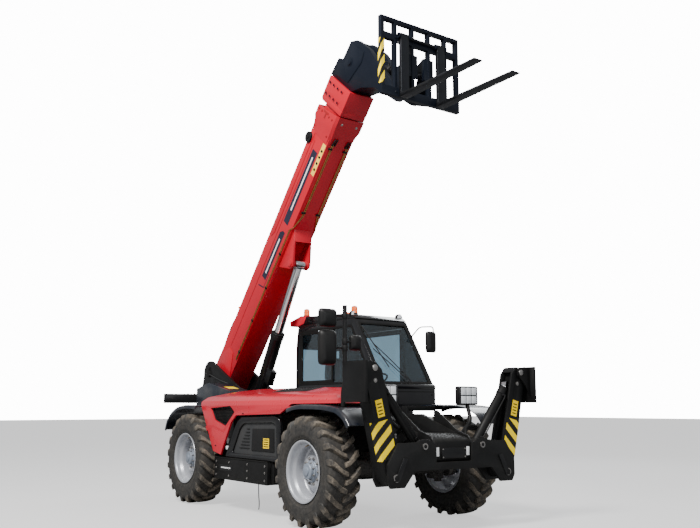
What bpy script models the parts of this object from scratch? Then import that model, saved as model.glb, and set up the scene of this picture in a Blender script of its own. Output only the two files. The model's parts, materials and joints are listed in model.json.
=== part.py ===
"""Rigid telehandler with front stabilisers, modelled as separate named pieces.

Units are metres and +Z is up. The machine faces -Y, the cab is on its left (+X) and
the engine hood on its right (-X). The origin is on the ground, in the middle of the
outline seen from above. Places along the machine are stations, measured back from
the front axle. Every moving body hangs from an empty on its joint's axis.
"""

import math

import bmesh
import bpy
from mathutils import Matrix, Vector

# ---- Driving dimensions -------------------------------------------------------------
GAP = 0.0003  # left between pieces that touch
PLAY = 0.006  # left between pieces that pass each other
WELD = 0.000005  # corners closer than this are one

FRONT_AXLE_Y = -1.32
WHEELBASE = 3.09
TRACK = 2.05

TYRE_RADIUS = 0.615
TYRE_WIDTH = 0.41
RIM_RADIUS = 0.335
RIM_WIDTH = 0.34
KING_PIN_INSET = 0.245
KING_PIN_RADIUS = 0.045
AXLE_RADIUS = 0.10

FRAME_HALF = 0.30
FRAME_PLATE = 0.05
FRAME_TOP = 1.24
FRAME_BOTTOM = 0.80
FRAME_FRONT = -0.90
NOSE_HALF = 0.26
NOSE_BOTTOM = 0.74
BEAM_PLATE = 0.03

BOOM_ANGLE = 49.0
BOOM_PIVOT_STATION = 4.25
BOOM_PIVOT_Z = 1.85
BOOM_PIN_RADIUS = 0.045
BOOM_WIDTH = 0.38
BOOM_DEPTH = 0.52
BOOM_ABOVE_PIN = 0.08
BOOM_WALL = 0.02
OUTER_LENGTH = 4.72
MIDDLE_LENGTH = 4.80
INNER_LENGTH = 5.16
SECTION_PLAY = 0.016
HEAD_HALF = 0.16

LIFT_BASE_STATION = 3.53
LIFT_BASE_Z = 0.82
LIFT_PIN_REACH = 2.58
LIFT_PIN_DROP = 0.67
LIFT_PIN_RADIUS = 0.035
LIFT_BARREL_RADIUS = 0.094
LIFT_BARREL_LENGTH = 1.83
LIFT_ROD_RADIUS = 0.065
LIFT_ROD_LENGTH = 1.74

TILT_PIN_STATION = -0.42
TILT_PIN_Z = 5.12
TILT_EYE_STATION = -0.50
TILT_EYE_Z = 5.40
TILT_BASE_REACH = 5.47
TILT_BASE_RISE = -0.14
TILT_BARREL_RADIUS = 0.052
TILT_BARREL_LENGTH = 0.76
TILT_ROD_RADIUS = 0.028
TILT_ROD_LENGTH = 0.80
SMALL_PIN_RADIUS = 0.03

CARRIAGE_HALF = 0.62
CARRIAGE_STATION = -0.68
CARRIAGE_BOTTOM = 4.95
CARRIAGE_TOP = 5.93
FORK_LENGTH = 1.22
FORK_HEIGHT = 0.80
FORK_SPACING = 0.58
FORK_WIDTH = 0.12

LEG_PIVOT_X = 0.81
LEG_PIVOT_Z = 0.60
LEG_TIP_X = 1.08
LEG_TIP_Z = 1.72
LEG_WIDTH = 0.22
LEG_THICKNESS = 0.19
LEG_EYE_X = 0.95
LEG_EYE_Z = 1.58
LEG_CYLINDER_X = 0.42
LEG_CYLINDER_Z = 0.91
LEG_BARREL_RADIUS = 0.051
LEG_BARREL_LENGTH = 0.79
LEG_ROD_RADIUS = 0.032
LEG_ROD_LENGTH = 0.76
PAD_LENGTH = 0.42
PAD_WIDTH = 0.40

CAB_INNER_X = 0.225
CAB_OUTER_X = 1.12
CAB_WALL = 0.05
CAB_FRONT_STATION = 0.40
CAB_REAR_STATION = 2.46
CAB_FLOOR_Z = 0.74
CAB_ROOF_Z = 2.50
GLASS = 0.008
DOOR_THICKNESS = 0.045

HOOD_OUTER_X = 1.12
HINGE_WALL = 0.03
HOOD_TOP_Z = 1.56
HOOD_WALL = 0.025

FENDER_INNER_X = 0.70
FENDER_OUTER_X = 1.21
FENDER_THICKNESS = 0.014

WHEEL_ROUND = 28  # sides of a wheel
ROUND = 24  # sides of a large round piece
SMALL_ROUND = 20  # sides of a pin, rod or tube


# ---- Worked out from the driving dimensions -----------------------------------------
def station(back):
    """World Y of a station measured back from the front axle."""
    return FRONT_AXLE_Y + back


AXLE_STATIONS = {"front": 0.0, "rear": WHEELBASE}
SIDES = {"right": -1.0, "left": 1.0}
BOOM_RISE = math.radians(BOOM_ANGLE)
BOOM_PIVOT = Vector((0.0, station(BOOM_PIVOT_STATION), BOOM_PIVOT_Z))
BOOM_BELOW_PIN = BOOM_DEPTH - BOOM_ABOVE_PIN
SLOT_HALF = FRAME_HALF - FRAME_PLATE
HOOD_INNER_X = FRAME_HALF + HINGE_WALL + 2 * GAP
BEAM_DEPTH = LEG_THICKNESS + 2 * (BEAM_PLATE + PLAY)
LEG_STATION = FRAME_FRONT - GAP - BEAM_DEPTH / 2
KING_PIN_X = TRACK / 2 - KING_PIN_INSET
WHEEL_X = TRACK / 2
FENDER_TOP_Z = 1.35


def boom_point(reach, rise, x=0.0):
    """World place of a point given along the raised boom and square to it."""
    along = math.cos(BOOM_RISE)
    up = math.sin(BOOM_RISE)
    return Vector((x, BOOM_PIVOT.y - reach * along + rise * up, BOOM_PIVOT.z + reach * up + rise * along))


LIFT_BASE = Vector((0.0, station(LIFT_BASE_STATION), LIFT_BASE_Z))
LIFT_EYE = boom_point(LIFT_PIN_REACH, -LIFT_PIN_DROP)
TILT_PIN = Vector((0.0, station(TILT_PIN_STATION), TILT_PIN_Z))
TILT_EYE = Vector((0.0, station(TILT_EYE_STATION), TILT_EYE_Z))
TILT_BASE = boom_point(TILT_BASE_REACH, TILT_BASE_RISE)

# ---- Materials: colour, roughness, metallic -----------------------------------------
MATERIALS = {
    "red_paint": ((0.62, 0.02, 0.03), 0.35, 0.0),
    "black_paint": ((0.012, 0.014, 0.02), 0.45, 0.0),
    "frame_paint": ((0.02, 0.017, 0.016), 0.5, 0.0),
    "navy_paint": ((0.015, 0.022, 0.04), 0.42, 0.0),
    "fender_plastic": ((0.012, 0.02, 0.035), 0.25, 0.0),
    "rim_paint": ((0.75, 0.76, 0.78), 0.35, 0.3),
    "rubber": ((0.02, 0.019, 0.018), 0.85, 0.0),
    "chrome": ((0.8, 0.8, 0.82), 0.12, 1.0),
    "cast_iron": ((0.05, 0.05, 0.055), 0.6, 0.5),
    "glass": ((0.25, 0.4, 0.5), 0.05, 0.0),
    "seat_fabric": ((0.03, 0.03, 0.032), 0.8, 0.0),
    "trim_plastic": ((0.025, 0.025, 0.027), 0.55, 0.0),
    "fork_steel": ((0.03, 0.03, 0.035), 0.4, 0.6),
    "lamp_housing": ((0.03, 0.03, 0.032), 0.4, 0.2),
    "strap_rubber": ((0.015, 0.015, 0.015), 0.8, 0.0),
}


def material(name):
    """The named material, made the first time it is asked for."""
    found = bpy.data.materials.get(name)
    if found:
        return found
    colour, roughness, metallic = MATERIALS[name]
    made = bpy.data.materials.new(name)
    made.use_nodes = True
    shader = made.node_tree.nodes["Principled BSDF"]
    shader.inputs["Base Color"].default_value = (*colour, 1.0)
    shader.inputs["Roughness"].default_value = roughness
    shader.inputs["Metallic"].default_value = metallic
    made.diffuse_color = (*colour, 1.0)
    return made


# ---- Modelling helpers --------------------------------------------------------------
def new_object(name, mesh):
    """Link a new object that holds the mesh."""
    made = bpy.data.objects.new(name, mesh)
    bpy.context.scene.collection.objects.link(made)
    return made


def from_bmesh(shape):
    """Turn a finished bmesh into an object, with its faces pointing out."""
    bmesh.ops.recalc_face_normals(shape, faces=shape.faces)
    mesh = bpy.data.meshes.new("Shape")
    shape.to_mesh(mesh)
    shape.free()
    return new_object("Shape", mesh)


def prism(axis, outline, low, high):
    """A flat outline, given in the two other axes in order, extruded along an axis."""
    order = {"X": (2, 0, 1), "Y": (0, 2, 1), "Z": (0, 1, 2)}[axis]
    shape = bmesh.new()
    corners = []
    for first, second in outline:
        flat = (first, second, low)
        corners.append(shape.verts.new([flat[index] for index in order]))
    face = shape.faces.new(corners)
    extruded = bmesh.ops.extrude_face_region(shape, geom=[face])
    step = Vector([high - low if name == axis else 0.0 for name in "XYZ"])
    moved = [item for item in extruded["geom"] if isinstance(item, bmesh.types.BMVert)]
    bmesh.ops.translate(shape, verts=moved, vec=step)
    return from_bmesh(shape)


def block(x_range, y_range, z_range):
    """A box between the given limits."""
    outline = [
        (x_range[0], y_range[0]),
        (x_range[1], y_range[0]),
        (x_range[1], y_range[1]),
        (x_range[0], y_range[1]),
    ]
    return prism("Z", outline, z_range[0], z_range[1])


def rod(start, end, radius, sides=SMALL_ROUND, end_radius=None):
    """A round bar, or a cone, from one point to another."""
    start = Vector(start)
    span = Vector(end) - start
    turn = Vector((0.0, 0.0, 1.0)).rotation_difference(span).to_matrix().to_4x4()
    place = Matrix.Translation(start + span / 2) @ turn
    shape = bmesh.new()
    bmesh.ops.create_cone(
        shape,
        cap_ends=True,
        segments=sides,
        radius1=radius,
        radius2=radius if end_radius is None else end_radius,
        depth=span.length,
        matrix=place,
    )
    return from_bmesh(shape)


def turned(profile, sides, centre=(0.0, 0.0, 0.0), side=1.0):
    """A solid turned about X from a closed profile of (x, radius) points."""
    shape = bmesh.new()
    rings = []
    for x, radius in profile:
        if radius == 0.0:
            rings.append([shape.verts.new((side * x, 0.0, 0.0))])
            continue
        ring = []
        for index in range(sides):
            angle = 2 * math.pi * (index + 0.5) / sides
            ring.append(shape.verts.new((side * x, radius * math.cos(angle), radius * math.sin(angle))))
        rings.append(ring)
    for first, second in zip(rings, rings[1:] + rings[:1]):
        join_rings(shape, first, second, sides)
    bmesh.ops.translate(shape, verts=shape.verts, vec=centre)
    return from_bmesh(shape)


def join_rings(shape, first, second, sides):
    """Faces between two rings, either of which may be a single point."""
    if len(first) == 1 and len(second) == 1:
        return
    for index in range(sides):
        after = (index + 1) % sides
        corners = [first[index % len(first)], second[index % len(second)]]
        if len(second) > 1:
            corners.append(second[after])
        if len(first) > 1:
            corners.append(first[after])
        shape.faces.new(corners)


def combine(target, tool, operation):
    """Apply a Boolean of the second object to the first, and remove the second."""
    modifier = target.modifiers.new("Combine", "BOOLEAN")
    modifier.operation = operation
    modifier.solver = "EXACT"
    modifier.object = tool
    bpy.context.view_layer.update()
    graph = bpy.context.evaluated_depsgraph_get()
    mesh = bpy.data.meshes.new_from_object(target.evaluated_get(graph))
    target.modifiers.clear()
    target.data = welded(mesh)
    bpy.data.objects.remove(tool)
    return target


def welded(mesh):
    """The mesh with the doubled corners that a Boolean can leave merged."""
    shape = bmesh.new()
    shape.from_mesh(mesh)
    bmesh.ops.remove_doubles(shape, verts=shape.verts, dist=WELD)
    shape.to_mesh(mesh)
    shape.free()
    return mesh


def union(first, *others):
    """Join solids into one body."""
    for other in others:
        combine(first, other, "UNION")
    return first


def cut(target, *tools):
    """Cut solids out of a body."""
    for tool in tools:
        combine(target, tool, "DIFFERENCE")
    return target


def shared(first, second):
    """What two solids have in common."""
    return combine(first, second, "INTERSECT")


def bored(target, start, end, radius, sides=SMALL_ROUND):
    """A body with a hole whose flats clear a round of the given radius."""
    return cut(target, rod(start, end, radius / math.cos(math.pi / sides), sides))


def axis_empty(name, place, turn_x=0.0, turn_y=0.0):
    """An empty on a joint's axis, from which a moving body hangs."""
    empty = bpy.data.objects.new(name, None)
    bpy.context.scene.collection.objects.link(empty)
    empty.location = place
    empty.rotation_euler = (turn_x, turn_y, 0.0)
    empty.empty_display_size = 0.2
    return empty


def finish(piece, name, finish_name, carrier=None, smooth=True):
    """Name a piece, give it its material and hang it from its carrier."""
    piece.name = name
    piece.data.name = name
    piece.data.materials.clear()
    piece.data.materials.append(material(finish_name))
    if smooth:
        piece.data.shade_smooth()
        piece.data.set_sharp_from_angle(angle=math.radians(35))
    piece.parent = carrier
    return piece


def mirrored(outline, side):
    """An outline in (x, other) flipped to the machine's left or right."""
    return [(side * first, second) for first, second in outline]


def arc(centre, radius, start, end, steps):
    """Points on an arc, with its angles in degrees."""
    points = []
    for index in range(steps + 1):
        angle = math.radians(start + (end - start) * index / steps)
        points.append((centre[0] + radius * math.cos(angle), centre[1] + radius * math.sin(angle)))
    return points


def side_range(side, inner, outer):
    """The X limits of a piece that lies between two distances from the middle."""
    return sorted((side * inner, side * outer))


# ---- Chassis ------------------------------------------------------------------------
def tower_outline():
    """Side view of one frame plate, with the boom's tower at its rear."""
    pivot = (station(BOOM_PIVOT_STATION), BOOM_PIVOT_Z)
    crown = arc(pivot, 0.20, 115, -10, 6)
    crown.reverse()
    return [
        (station(FRAME_FRONT), FRAME_BOTTOM),
        (station(0.70), FRAME_BOTTOM),
        (station(0.95), 0.52),
        (station(2.15), 0.52),
        (station(2.45), FRAME_BOTTOM),
        (station(3.40), 0.74),
        (station(4.10), 0.74),
        (station(4.52), 1.10),
        (station(4.52), 1.55),
        *crown,
        (station(3.30), FRAME_TOP + 0.38),
        (station(2.85), FRAME_TOP),
        (station(-0.31), FRAME_TOP),
        (station(FRAME_FRONT), 1.04),
    ]


def make_main_frame():
    """Two long plates with cross members, the boom's tower, pins and mudguard arms."""
    frame = prism("X", tower_outline(), -FRAME_HALF, -SLOT_HALF)
    frame = union(frame, prism("X", tower_outline(), SLOT_HALF, FRAME_HALF))
    wide = (-SLOT_HALF - 0.02, SLOT_HALF + 0.02)
    frame = union(
        frame,
        block(wide, (station(FRAME_FRONT) + 0.01, station(-0.55)), (FRAME_BOTTOM + 0.01, 1.03)),
        block(wide, (station(-0.60), station(0.55)), (FRAME_BOTTOM + 0.02, FRAME_BOTTOM + 0.07)),
        block(wide, (station(1.00), station(2.10)), (0.53, 0.58)),
        block(wide, (station(2.30), station(2.42)), (0.75, 0.90)),
        block(wide, (station(4.08), station(4.14)), (0.90, 1.30)),
        rod(BOOM_PIVOT + Vector((-0.27, 0, 0)), BOOM_PIVOT + Vector((0.27, 0, 0)), BOOM_PIN_RADIUS),
        rod(LIFT_BASE + Vector((-0.27, 0, 0)), LIFT_BASE + Vector((0.27, 0, 0)), LIFT_PIN_RADIUS),
    )
    for back in AXLE_STATIONS.values():
        for side in SIDES.values():
            frame = union(frame, *mudguard_arm(side, back))
    return finish(frame, "main_frame", "frame_paint", smooth=False)


def mudguard_arm(side, back):
    """A bar from a frame plate out over the tyre, and the upright that holds it."""
    top = FENDER_TOP_Z - FENDER_THICKNESS - GAP
    along = (station(back - 0.04), station(back + 0.04))
    upright = block(side_range(side, SLOT_HALF, FRAME_HALF), along, (FRAME_TOP - 0.1, top))
    bar = block(side_range(side, SLOT_HALF, FENDER_INNER_X + 0.15), along, (top - 0.05, top))
    return upright, bar


def make_front_nose():
    """The nose between the stabilisers: sloping top plates and a grille face."""
    start = station(FRAME_FRONT) - GAP
    outline = [
        (start, NOSE_BOTTOM),
        (start, 1.035),
        (station(-1.11), 0.985),
        (station(-1.14), 0.955),
        (station(-1.145), 0.90),
        (station(-1.125), 0.76),
        (station(-1.11), NOSE_BOTTOM),
    ]
    nose = prism("X", outline, -NOSE_HALF, NOSE_HALF)
    return finish(nose, "front_nose", "frame_paint", smooth=False)


def make_stabiliser_beam():
    """Front cross beam: one shaped box, slotted for the legs and notched for the nose."""
    ends = (station(FRAME_FRONT) - GAP - BEAM_DEPTH, station(FRAME_FRONT) - GAP)
    half = [
        (NOSE_HALF + 0.04, 0.94),
        (LEG_CYLINDER_X - 0.07, LEG_CYLINDER_Z + 0.07),
        (LEG_CYLINDER_X + 0.06, LEG_CYLINDER_Z + 0.07),
        (LEG_CYLINDER_X + 0.10, 0.955),
        (0.78, 0.95),
        (0.92, 0.74),
        (0.92, LEG_PIVOT_Z - 0.03),
        (0.88, LEG_PIVOT_Z - 0.10),
        (0.70, LEG_PIVOT_Z - 0.10),
        (0.56, 0.66),
    ]
    outline = half + [(-x, z) for x, z in reversed(half)]
    beam = prism("Y", outline, *ends)
    beam = cut(beam, block((-NOSE_HALF - GAP, NOSE_HALF + GAP), (ends[0] - 0.1, ends[1] + 0.1), (NOSE_BOTTOM - GAP, 1.2)))
    slot = (ends[0] + BEAM_PLATE, ends[1] - BEAM_PLATE)
    for side in SIDES.values():
        beam = cut(beam, block(side_range(side, LEG_CYLINDER_X - 0.075, 1.1), slot, (0.3, 1.2)))
        for x, z, radius in ((LEG_PIVOT_X, LEG_PIVOT_Z, SMALL_PIN_RADIUS), (LEG_CYLINDER_X, LEG_CYLINDER_Z, 0.02)):
            beam = union(beam, rod((side * x, ends[0] - 0.012, z), (side * x, ends[1] - 0.012, z), radius))
    return finish(beam, "stabiliser_beam", "frame_paint", smooth=False)


def make_axle(name, back):
    """A rigid axle: tube, differential, forks for the knuckles and a saddle."""
    y = station(back)
    z = TYRE_RADIUS
    reach = KING_PIN_X - 0.05
    axle = rod((-reach, y, z), (reach, y, z), AXLE_RADIUS)
    profile = [(-0.24, 0.0), (-0.24, 0.11), (-0.12, 0.175), (0.12, 0.175), (0.24, 0.11), (0.24, 0.0)]
    axle = union(axle, turned(profile, SMALL_ROUND, (0.0, y, z)))
    for side in SIDES.values():
        x = side * KING_PIN_X
        for end in (-1.0, 1.0):
            ear = rod((x, y, z + end * 0.09), (x, y, z + end * 0.165), 0.075)
            web = block(side_range(side, reach - 0.08, KING_PIN_X), (y - 0.06, y + 0.06),
                        sorted((z + end * 0.05, z + end * 0.16)))
            axle = union(axle, ear, web)
        clear = block(side_range(side, reach - 0.03, KING_PIN_X + 0.2), (y - 0.2, y + 0.2),
                      (z - 0.115, z + 0.115))
        axle = cut(axle, clear)
        axle = bored(axle, (x, y, z - 0.3), (x, y, z + 0.3), KING_PIN_RADIUS + GAP)
    top = FRAME_BOTTOM - GAP if back == 0.0 else frame_underside(back) - GAP
    for side in SIDES.values():
        axle = union(axle, block(side_range(side, 0.255, 0.34), (y - 0.085, y + 0.085), (z, top)))
    return finish(axle, name, "cast_iron")


def frame_underside(back):
    """Height of the frame's lower edge above the rear axle."""
    rise = (back + 0.09 - 2.45) / (3.40 - 2.45)
    return FRAME_BOTTOM + (0.74 - FRAME_BOTTOM) * rise


def make_engine():
    """The engine as one plain block on its platform."""
    engine = block((-0.95, -0.40), (station(1.00), station(2.15)), (0.66 + GAP, 1.24))
    return finish(engine, "engine", "cast_iron", smooth=False)


def make_engine_platform():
    """Right side box under the hood, with the grille panel above it and the hinge wall."""
    outer = HOOD_OUTER_X - 0.01
    platform = block((-outer, -FRAME_HALF - GAP), (station(0.95), station(2.36)), (0.39, 0.66))
    panel = [
        (station(0.93), 0.60),
        (station(2.12), 0.60),
        (station(1.84), 1.14),
        (station(1.74), 1.19),
        (station(0.72), 1.215),
    ]
    platform = union(platform, prism("X", panel, -outer + 0.05, -outer + 0.08))
    wall_x = (-FRAME_HALF - GAP - HINGE_WALL, -FRAME_HALF - GAP)
    wall = block(wall_x, (station(-0.45), station(2.60)), (FENDER_TOP_Z, HOOD_TOP_Z - 0.03))
    foot = block(wall_x, (station(1.00), station(2.10)), (0.60, 1.40))
    platform = union(platform, wall, foot)
    return finish(platform, "engine_platform", "black_paint", smooth=False)


def make_hydraulic_tank():
    """Tank behind the hood, over the rear axle, with a sloping cover."""
    bottom = FENDER_TOP_Z - FENDER_THICKNESS
    outline = [
        (station(2.86), bottom),
        (station(3.95), bottom),
        (station(3.95), 1.60),
        (station(3.55), 1.68),
        (station(2.86), 1.55),
    ]
    tank = prism("X", outline, -0.66, -FRAME_HALF - GAP)
    return finish(tank, "hydraulic_tank", "fender_plastic", smooth=False)


def make_fuel_tank():
    """Left side tank and step under the cab."""
    tank = block((FRAME_HALF + GAP, CAB_OUTER_X - 0.04), (station(0.95), station(2.24)), (0.39, 0.66))
    step = block((CAB_OUTER_X - 0.06, CAB_OUTER_X + 0.05), (station(1.25), station(1.75)), (0.44, 0.47))
    riser = block((CAB_OUTER_X - 0.22, CAB_OUTER_X + 0.0), (station(1.25), station(1.75)), (0.60, CAB_FLOOR_Z - GAP))
    saddle = block((FRAME_HALF + GAP, 0.60), (station(0.98), station(2.20)), (0.60, CAB_FLOOR_Z - GAP))
    tank = union(tank, step, riser, saddle)
    return finish(tank, "fuel_tank", "black_paint", smooth=False)


def fender_outline(name):
    """Outer line of a mudguard in side view, front end first."""
    if name == "front":
        return [(-0.88, 1.13), (-0.80, 1.225), (-0.62, 1.315), (-0.30, 1.345), (-0.06, FENDER_TOP_Z),
                (0.10, FENDER_TOP_Z), (0.26, 1.335), (0.385, 1.305)]
    back = WHEELBASE
    return [(back - 0.28, 1.338), (back - 0.10, FENDER_TOP_Z), (back + 0.08, FENDER_TOP_Z), (back + 0.34, 1.325),
            (back + 0.56, 1.24), (back + 0.70, 1.12), (back + 0.76, 0.99)]


def fender_height(name, back):
    """Height of a mudguard's outer line at a station."""
    outline = fender_outline(name)
    for (near, low), (far, high) in zip(outline, outline[1:]):
        if near <= back <= far:
            return low + (high - low) * (back - near) / (far - near)
    return outline[-1][1]


def make_fender(axle_name, side_name):
    """A moulded mudguard over one wheel, with a lip along its outer edge."""
    side = SIDES[side_name]
    outer = [(station(back), z) for back, z in fender_outline(axle_name)]
    inner = [(y, z - FENDER_THICKNESS) for y, z in outer]
    inner.reverse()
    sheet = prism("X", outer + inner, *side_range(side, FENDER_INNER_X, FENDER_OUTER_X))
    low = [(y, z - 0.05) for y, z in outer]
    low.reverse()
    lip = prism("X", outer + low, *side_range(side, FENDER_OUTER_X - 0.014, FENDER_OUTER_X))
    fender = union(sheet, lip)
    return finish(fender, f"fender_{axle_name}_{side_name}", "fender_plastic", smooth=False)


def make_work_lamp(side_name):
    """A work lamp on a bent tube beside the nose."""
    side = SIDES[side_name]
    x = side * 0.61
    y = station(-0.73)
    lamp = block(side_range(side, 0.455, 0.765), (y - 0.04, y + 0.05), (1.34, 1.565))
    elbow = (side * 0.60, station(-0.80), 1.16)
    knee = (side * 0.36, station(-0.86), 0.99)
    foot = (side * (FRAME_HALF + 0.02 + GAP), station(-0.80), 0.90)
    lamp = union(
        lamp,
        rod((x, y, 1.36), elbow, 0.024, 10),
        rod(elbow, knee, 0.024, 10),
        rod(knee, foot, 0.02, 10),
        block(side_range(side, FRAME_HALF + GAP, FRAME_HALF + 0.04), (station(-0.86), station(-0.72)), (0.84, 0.96)),
    )
    return finish(lamp, f"work_lamp_{side_name}", "lamp_housing", smooth=False)


def make_rear_light_beam():
    """Cross beam behind the tower with the rear lights."""
    y = station(4.52) + GAP
    beam = block((-0.92, 0.92), (y, y + 0.07), (1.38, 1.53))
    for side in SIDES.values():
        beam = union(beam, block(side_range(side, 0.62, 0.90), (y + 0.06, y + 0.10), (1.40, 1.51)))
    return finish(beam, "rear_light_beam", "black_paint", smooth=False)


def make_mirror_post():
    """Tall post on the right front mudguard with its three mirrors."""
    x = -1.07
    y = station(-0.61)
    foot_y = station(-0.58)
    foot_z = fender_height("front", -0.53) + GAP
    post = union(
        block((x - 0.05, x + 0.05), (foot_y - 0.05, foot_y + 0.05), (foot_z, foot_z + 0.03)),
        rod((x, y, foot_z + 0.01), (x, y, 2.42), 0.02, 12),
        block((x - 0.34, x - 0.11), (y - 0.05, y + 0.03), (2.17, 2.37)),
        block((x - 0.34, x - 0.11), (y - 0.05, y + 0.03), (1.76, 2.14)),
        block((x + 0.07, x + 0.23), (y - 0.04, y + 0.03), (1.93, 2.10)),
        rod((x, y, 2.30), (x - 0.15, y, 2.30), 0.012, 10),
        rod((x, y, 1.95), (x - 0.15, y, 1.95), 0.012, 10),
        rod((x, y, 2.02), (x + 0.10, y, 2.02), 0.012, 10),
    )
    return finish(post, "mirror_post", "trim_plastic", smooth=False)


def make_ground_strap():
    """The short strap that hangs free under the right side box."""
    start = Vector((-0.98, station(1.38), 0.39 - GAP))
    points = [
        start,
        start + Vector((0.000, 0.000, -0.04)),
        start + Vector((0.002, -0.012, -0.14)),
        start + Vector((0.004, -0.018, -0.24)),
        start + Vector((0.004, -0.006, -0.33)),
    ]
    curve = bpy.data.curves.new("ground_strap", "CURVE")
    curve.dimensions = "3D"
    curve.bevel_depth = 0.006
    curve.bevel_resolution = 2
    curve.use_fill_caps = True
    spline = curve.splines.new("POLY")
    smooth = smooth_route(points, 6)
    spline.points.add(len(smooth) - 1)
    for spot, place in zip(spline.points, smooth):
        spot.co = (*place, 1.0)
    strap = new_object("ground_strap", curve)
    curve.materials.append(material("strap_rubber"))
    return strap


def smooth_route(points, steps):
    """Points read off a smooth curve through the given ones."""
    route = [points[0]]
    for index in range(len(points) - 1):
        before = points[max(index - 1, 0)]
        here = points[index]
        there = points[index + 1]
        after = points[min(index + 2, len(points) - 1)]
        for step in range(1, steps + 1):
            t = step / steps
            spot = (2 * here + (there - before) * t + (2 * before - 5 * here + 4 * there - after) * t * t
                    + (3 * here - before - 3 * there + after) * t ** 3) / 2
            route.append(spot)
    return route


# ---- Cab ----------------------------------------------------------------------------
PILLAR_FOOT = (station(CAB_FRONT_STATION + 0.03), 1.60)
PILLAR_HEAD = (station(1.00), CAB_ROOF_Z)
DOOR_FRONT = station(1.02)
DOOR_REAR = station(2.06)
DOOR_BOTTOM = 0.80
DOOR_TOP = 2.40


def cab_outline(inset):
    """Side view of the cab, moved in by the inset on every side."""
    slope = (PILLAR_HEAD[0] - PILLAR_FOOT[0]) / (PILLAR_HEAD[1] - PILLAR_FOOT[1])
    shift = inset * math.hypot(1.0, slope)
    front = station(CAB_FRONT_STATION) + inset
    rear = station(CAB_REAR_STATION) - inset
    waist = 1.27 + inset
    low_front = station(0.86) + inset
    low_rear = station(2.26) - inset
    top = CAB_ROOF_Z - (CAB_WALL if inset else 0.0)
    foot_z = PILLAR_FOOT[1]
    return [
        (low_front, CAB_FLOOR_Z + inset),
        (low_rear, CAB_FLOOR_Z + inset),
        (low_rear, waist),
        (rear, waist),
        (rear, 2.2),
        (rear - 0.05, top),
        (PILLAR_FOOT[0] + shift + slope * (top - foot_z), top),
        (PILLAR_FOOT[0] + shift, foot_z),
        (front, 1.55),
        (front, waist),
        (low_front, waist),
    ]


def windscreen_frame(margin, low, high, depth):
    """Slanted outline along the front pillars, used for the opening and its pane."""
    slope = (PILLAR_HEAD[0] - PILLAR_FOOT[0]) / (PILLAR_HEAD[1] - PILLAR_FOOT[1])
    bottom = PILLAR_FOOT[1] + margin
    top = PILLAR_HEAD[1] - margin - 0.03
    foot = PILLAR_FOOT[0] + slope * (bottom - PILLAR_FOOT[1])
    head = PILLAR_FOOT[0] + slope * (top - PILLAR_FOOT[1])
    return [(foot + low, bottom), (foot + low + depth, bottom), (head + low + depth, top), (head + low, top)]


def rear_window_limits(clear):
    """Width and height of the rear window, made larger by the clearance."""
    return (CAB_INNER_X + 0.10 - clear, CAB_OUTER_X - 0.10 + clear), (1.55 - clear, 2.18 + clear)


def right_window_outline(clear):
    """Outline of the right side window, made larger by the clearance."""
    return [
        (station(0.60) - clear, 1.64 - clear),
        (station(2.34) + clear, 1.64 - clear),
        (station(2.34) + clear, 2.40 + clear),
        (station(1.06) - clear, 2.40 + clear),
    ]


def cab_volume(inset):
    """The cab as a solid, moved in by the inset, with its notch over the frame plate."""
    volume = prism("X", cab_outline(inset), CAB_INNER_X + inset, CAB_OUTER_X - inset)
    notch = block((-0.1, FRAME_HALF + GAP + inset), (station(-1.0), station(4.0)), (0.0, FRAME_TOP + GAP + inset))
    return cut(volume, notch)


def make_cab_shell():
    """Hollow cab: outer shape less the inside, with the windows and doorway cut."""
    shell = cut(cab_volume(0.0), cab_volume(CAB_WALL))
    inner = CAB_INNER_X + 0.05
    outer = CAB_OUTER_X - 0.05
    shell = cut(shell, prism("X", windscreen_frame(0.03, -0.3, 0, 0.45), inner, outer))
    shell = cut(shell, prism("X", right_window_outline(0.0), CAB_INNER_X - 0.1, CAB_INNER_X + 0.2))
    rear_x, rear_z = rear_window_limits(0.0)
    shell = cut(shell, block(rear_x, (station(CAB_REAR_STATION) - 0.2, station(CAB_REAR_STATION) + 0.1), rear_z))
    doorway = prism("X", door_outline(0.0), CAB_OUTER_X - 0.2, CAB_OUTER_X + 0.1)
    shell = cut(shell, doorway)
    return finish(shell, "cab_shell", "black_paint", smooth=False)


def door_outline(inset):
    """Outline of the doorway, and with an inset that of the door in it."""
    slope = (PILLAR_HEAD[0] - PILLAR_FOOT[0]) / (PILLAR_HEAD[1] - PILLAR_FOOT[1])
    top = DOOR_TOP - inset
    knee = 1.62
    front = DOOR_FRONT + inset
    lean = max(0.0, PILLAR_FOOT[0] + 0.10 + slope * (top - PILLAR_FOOT[1]) - DOOR_FRONT) + inset
    return [
        (front, DOOR_BOTTOM + inset),
        (DOOR_REAR - inset, DOOR_BOTTOM + inset),
        (DOOR_REAR - inset, top),
        (DOOR_FRONT + lean, top),
        (front, knee),
    ]


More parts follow.
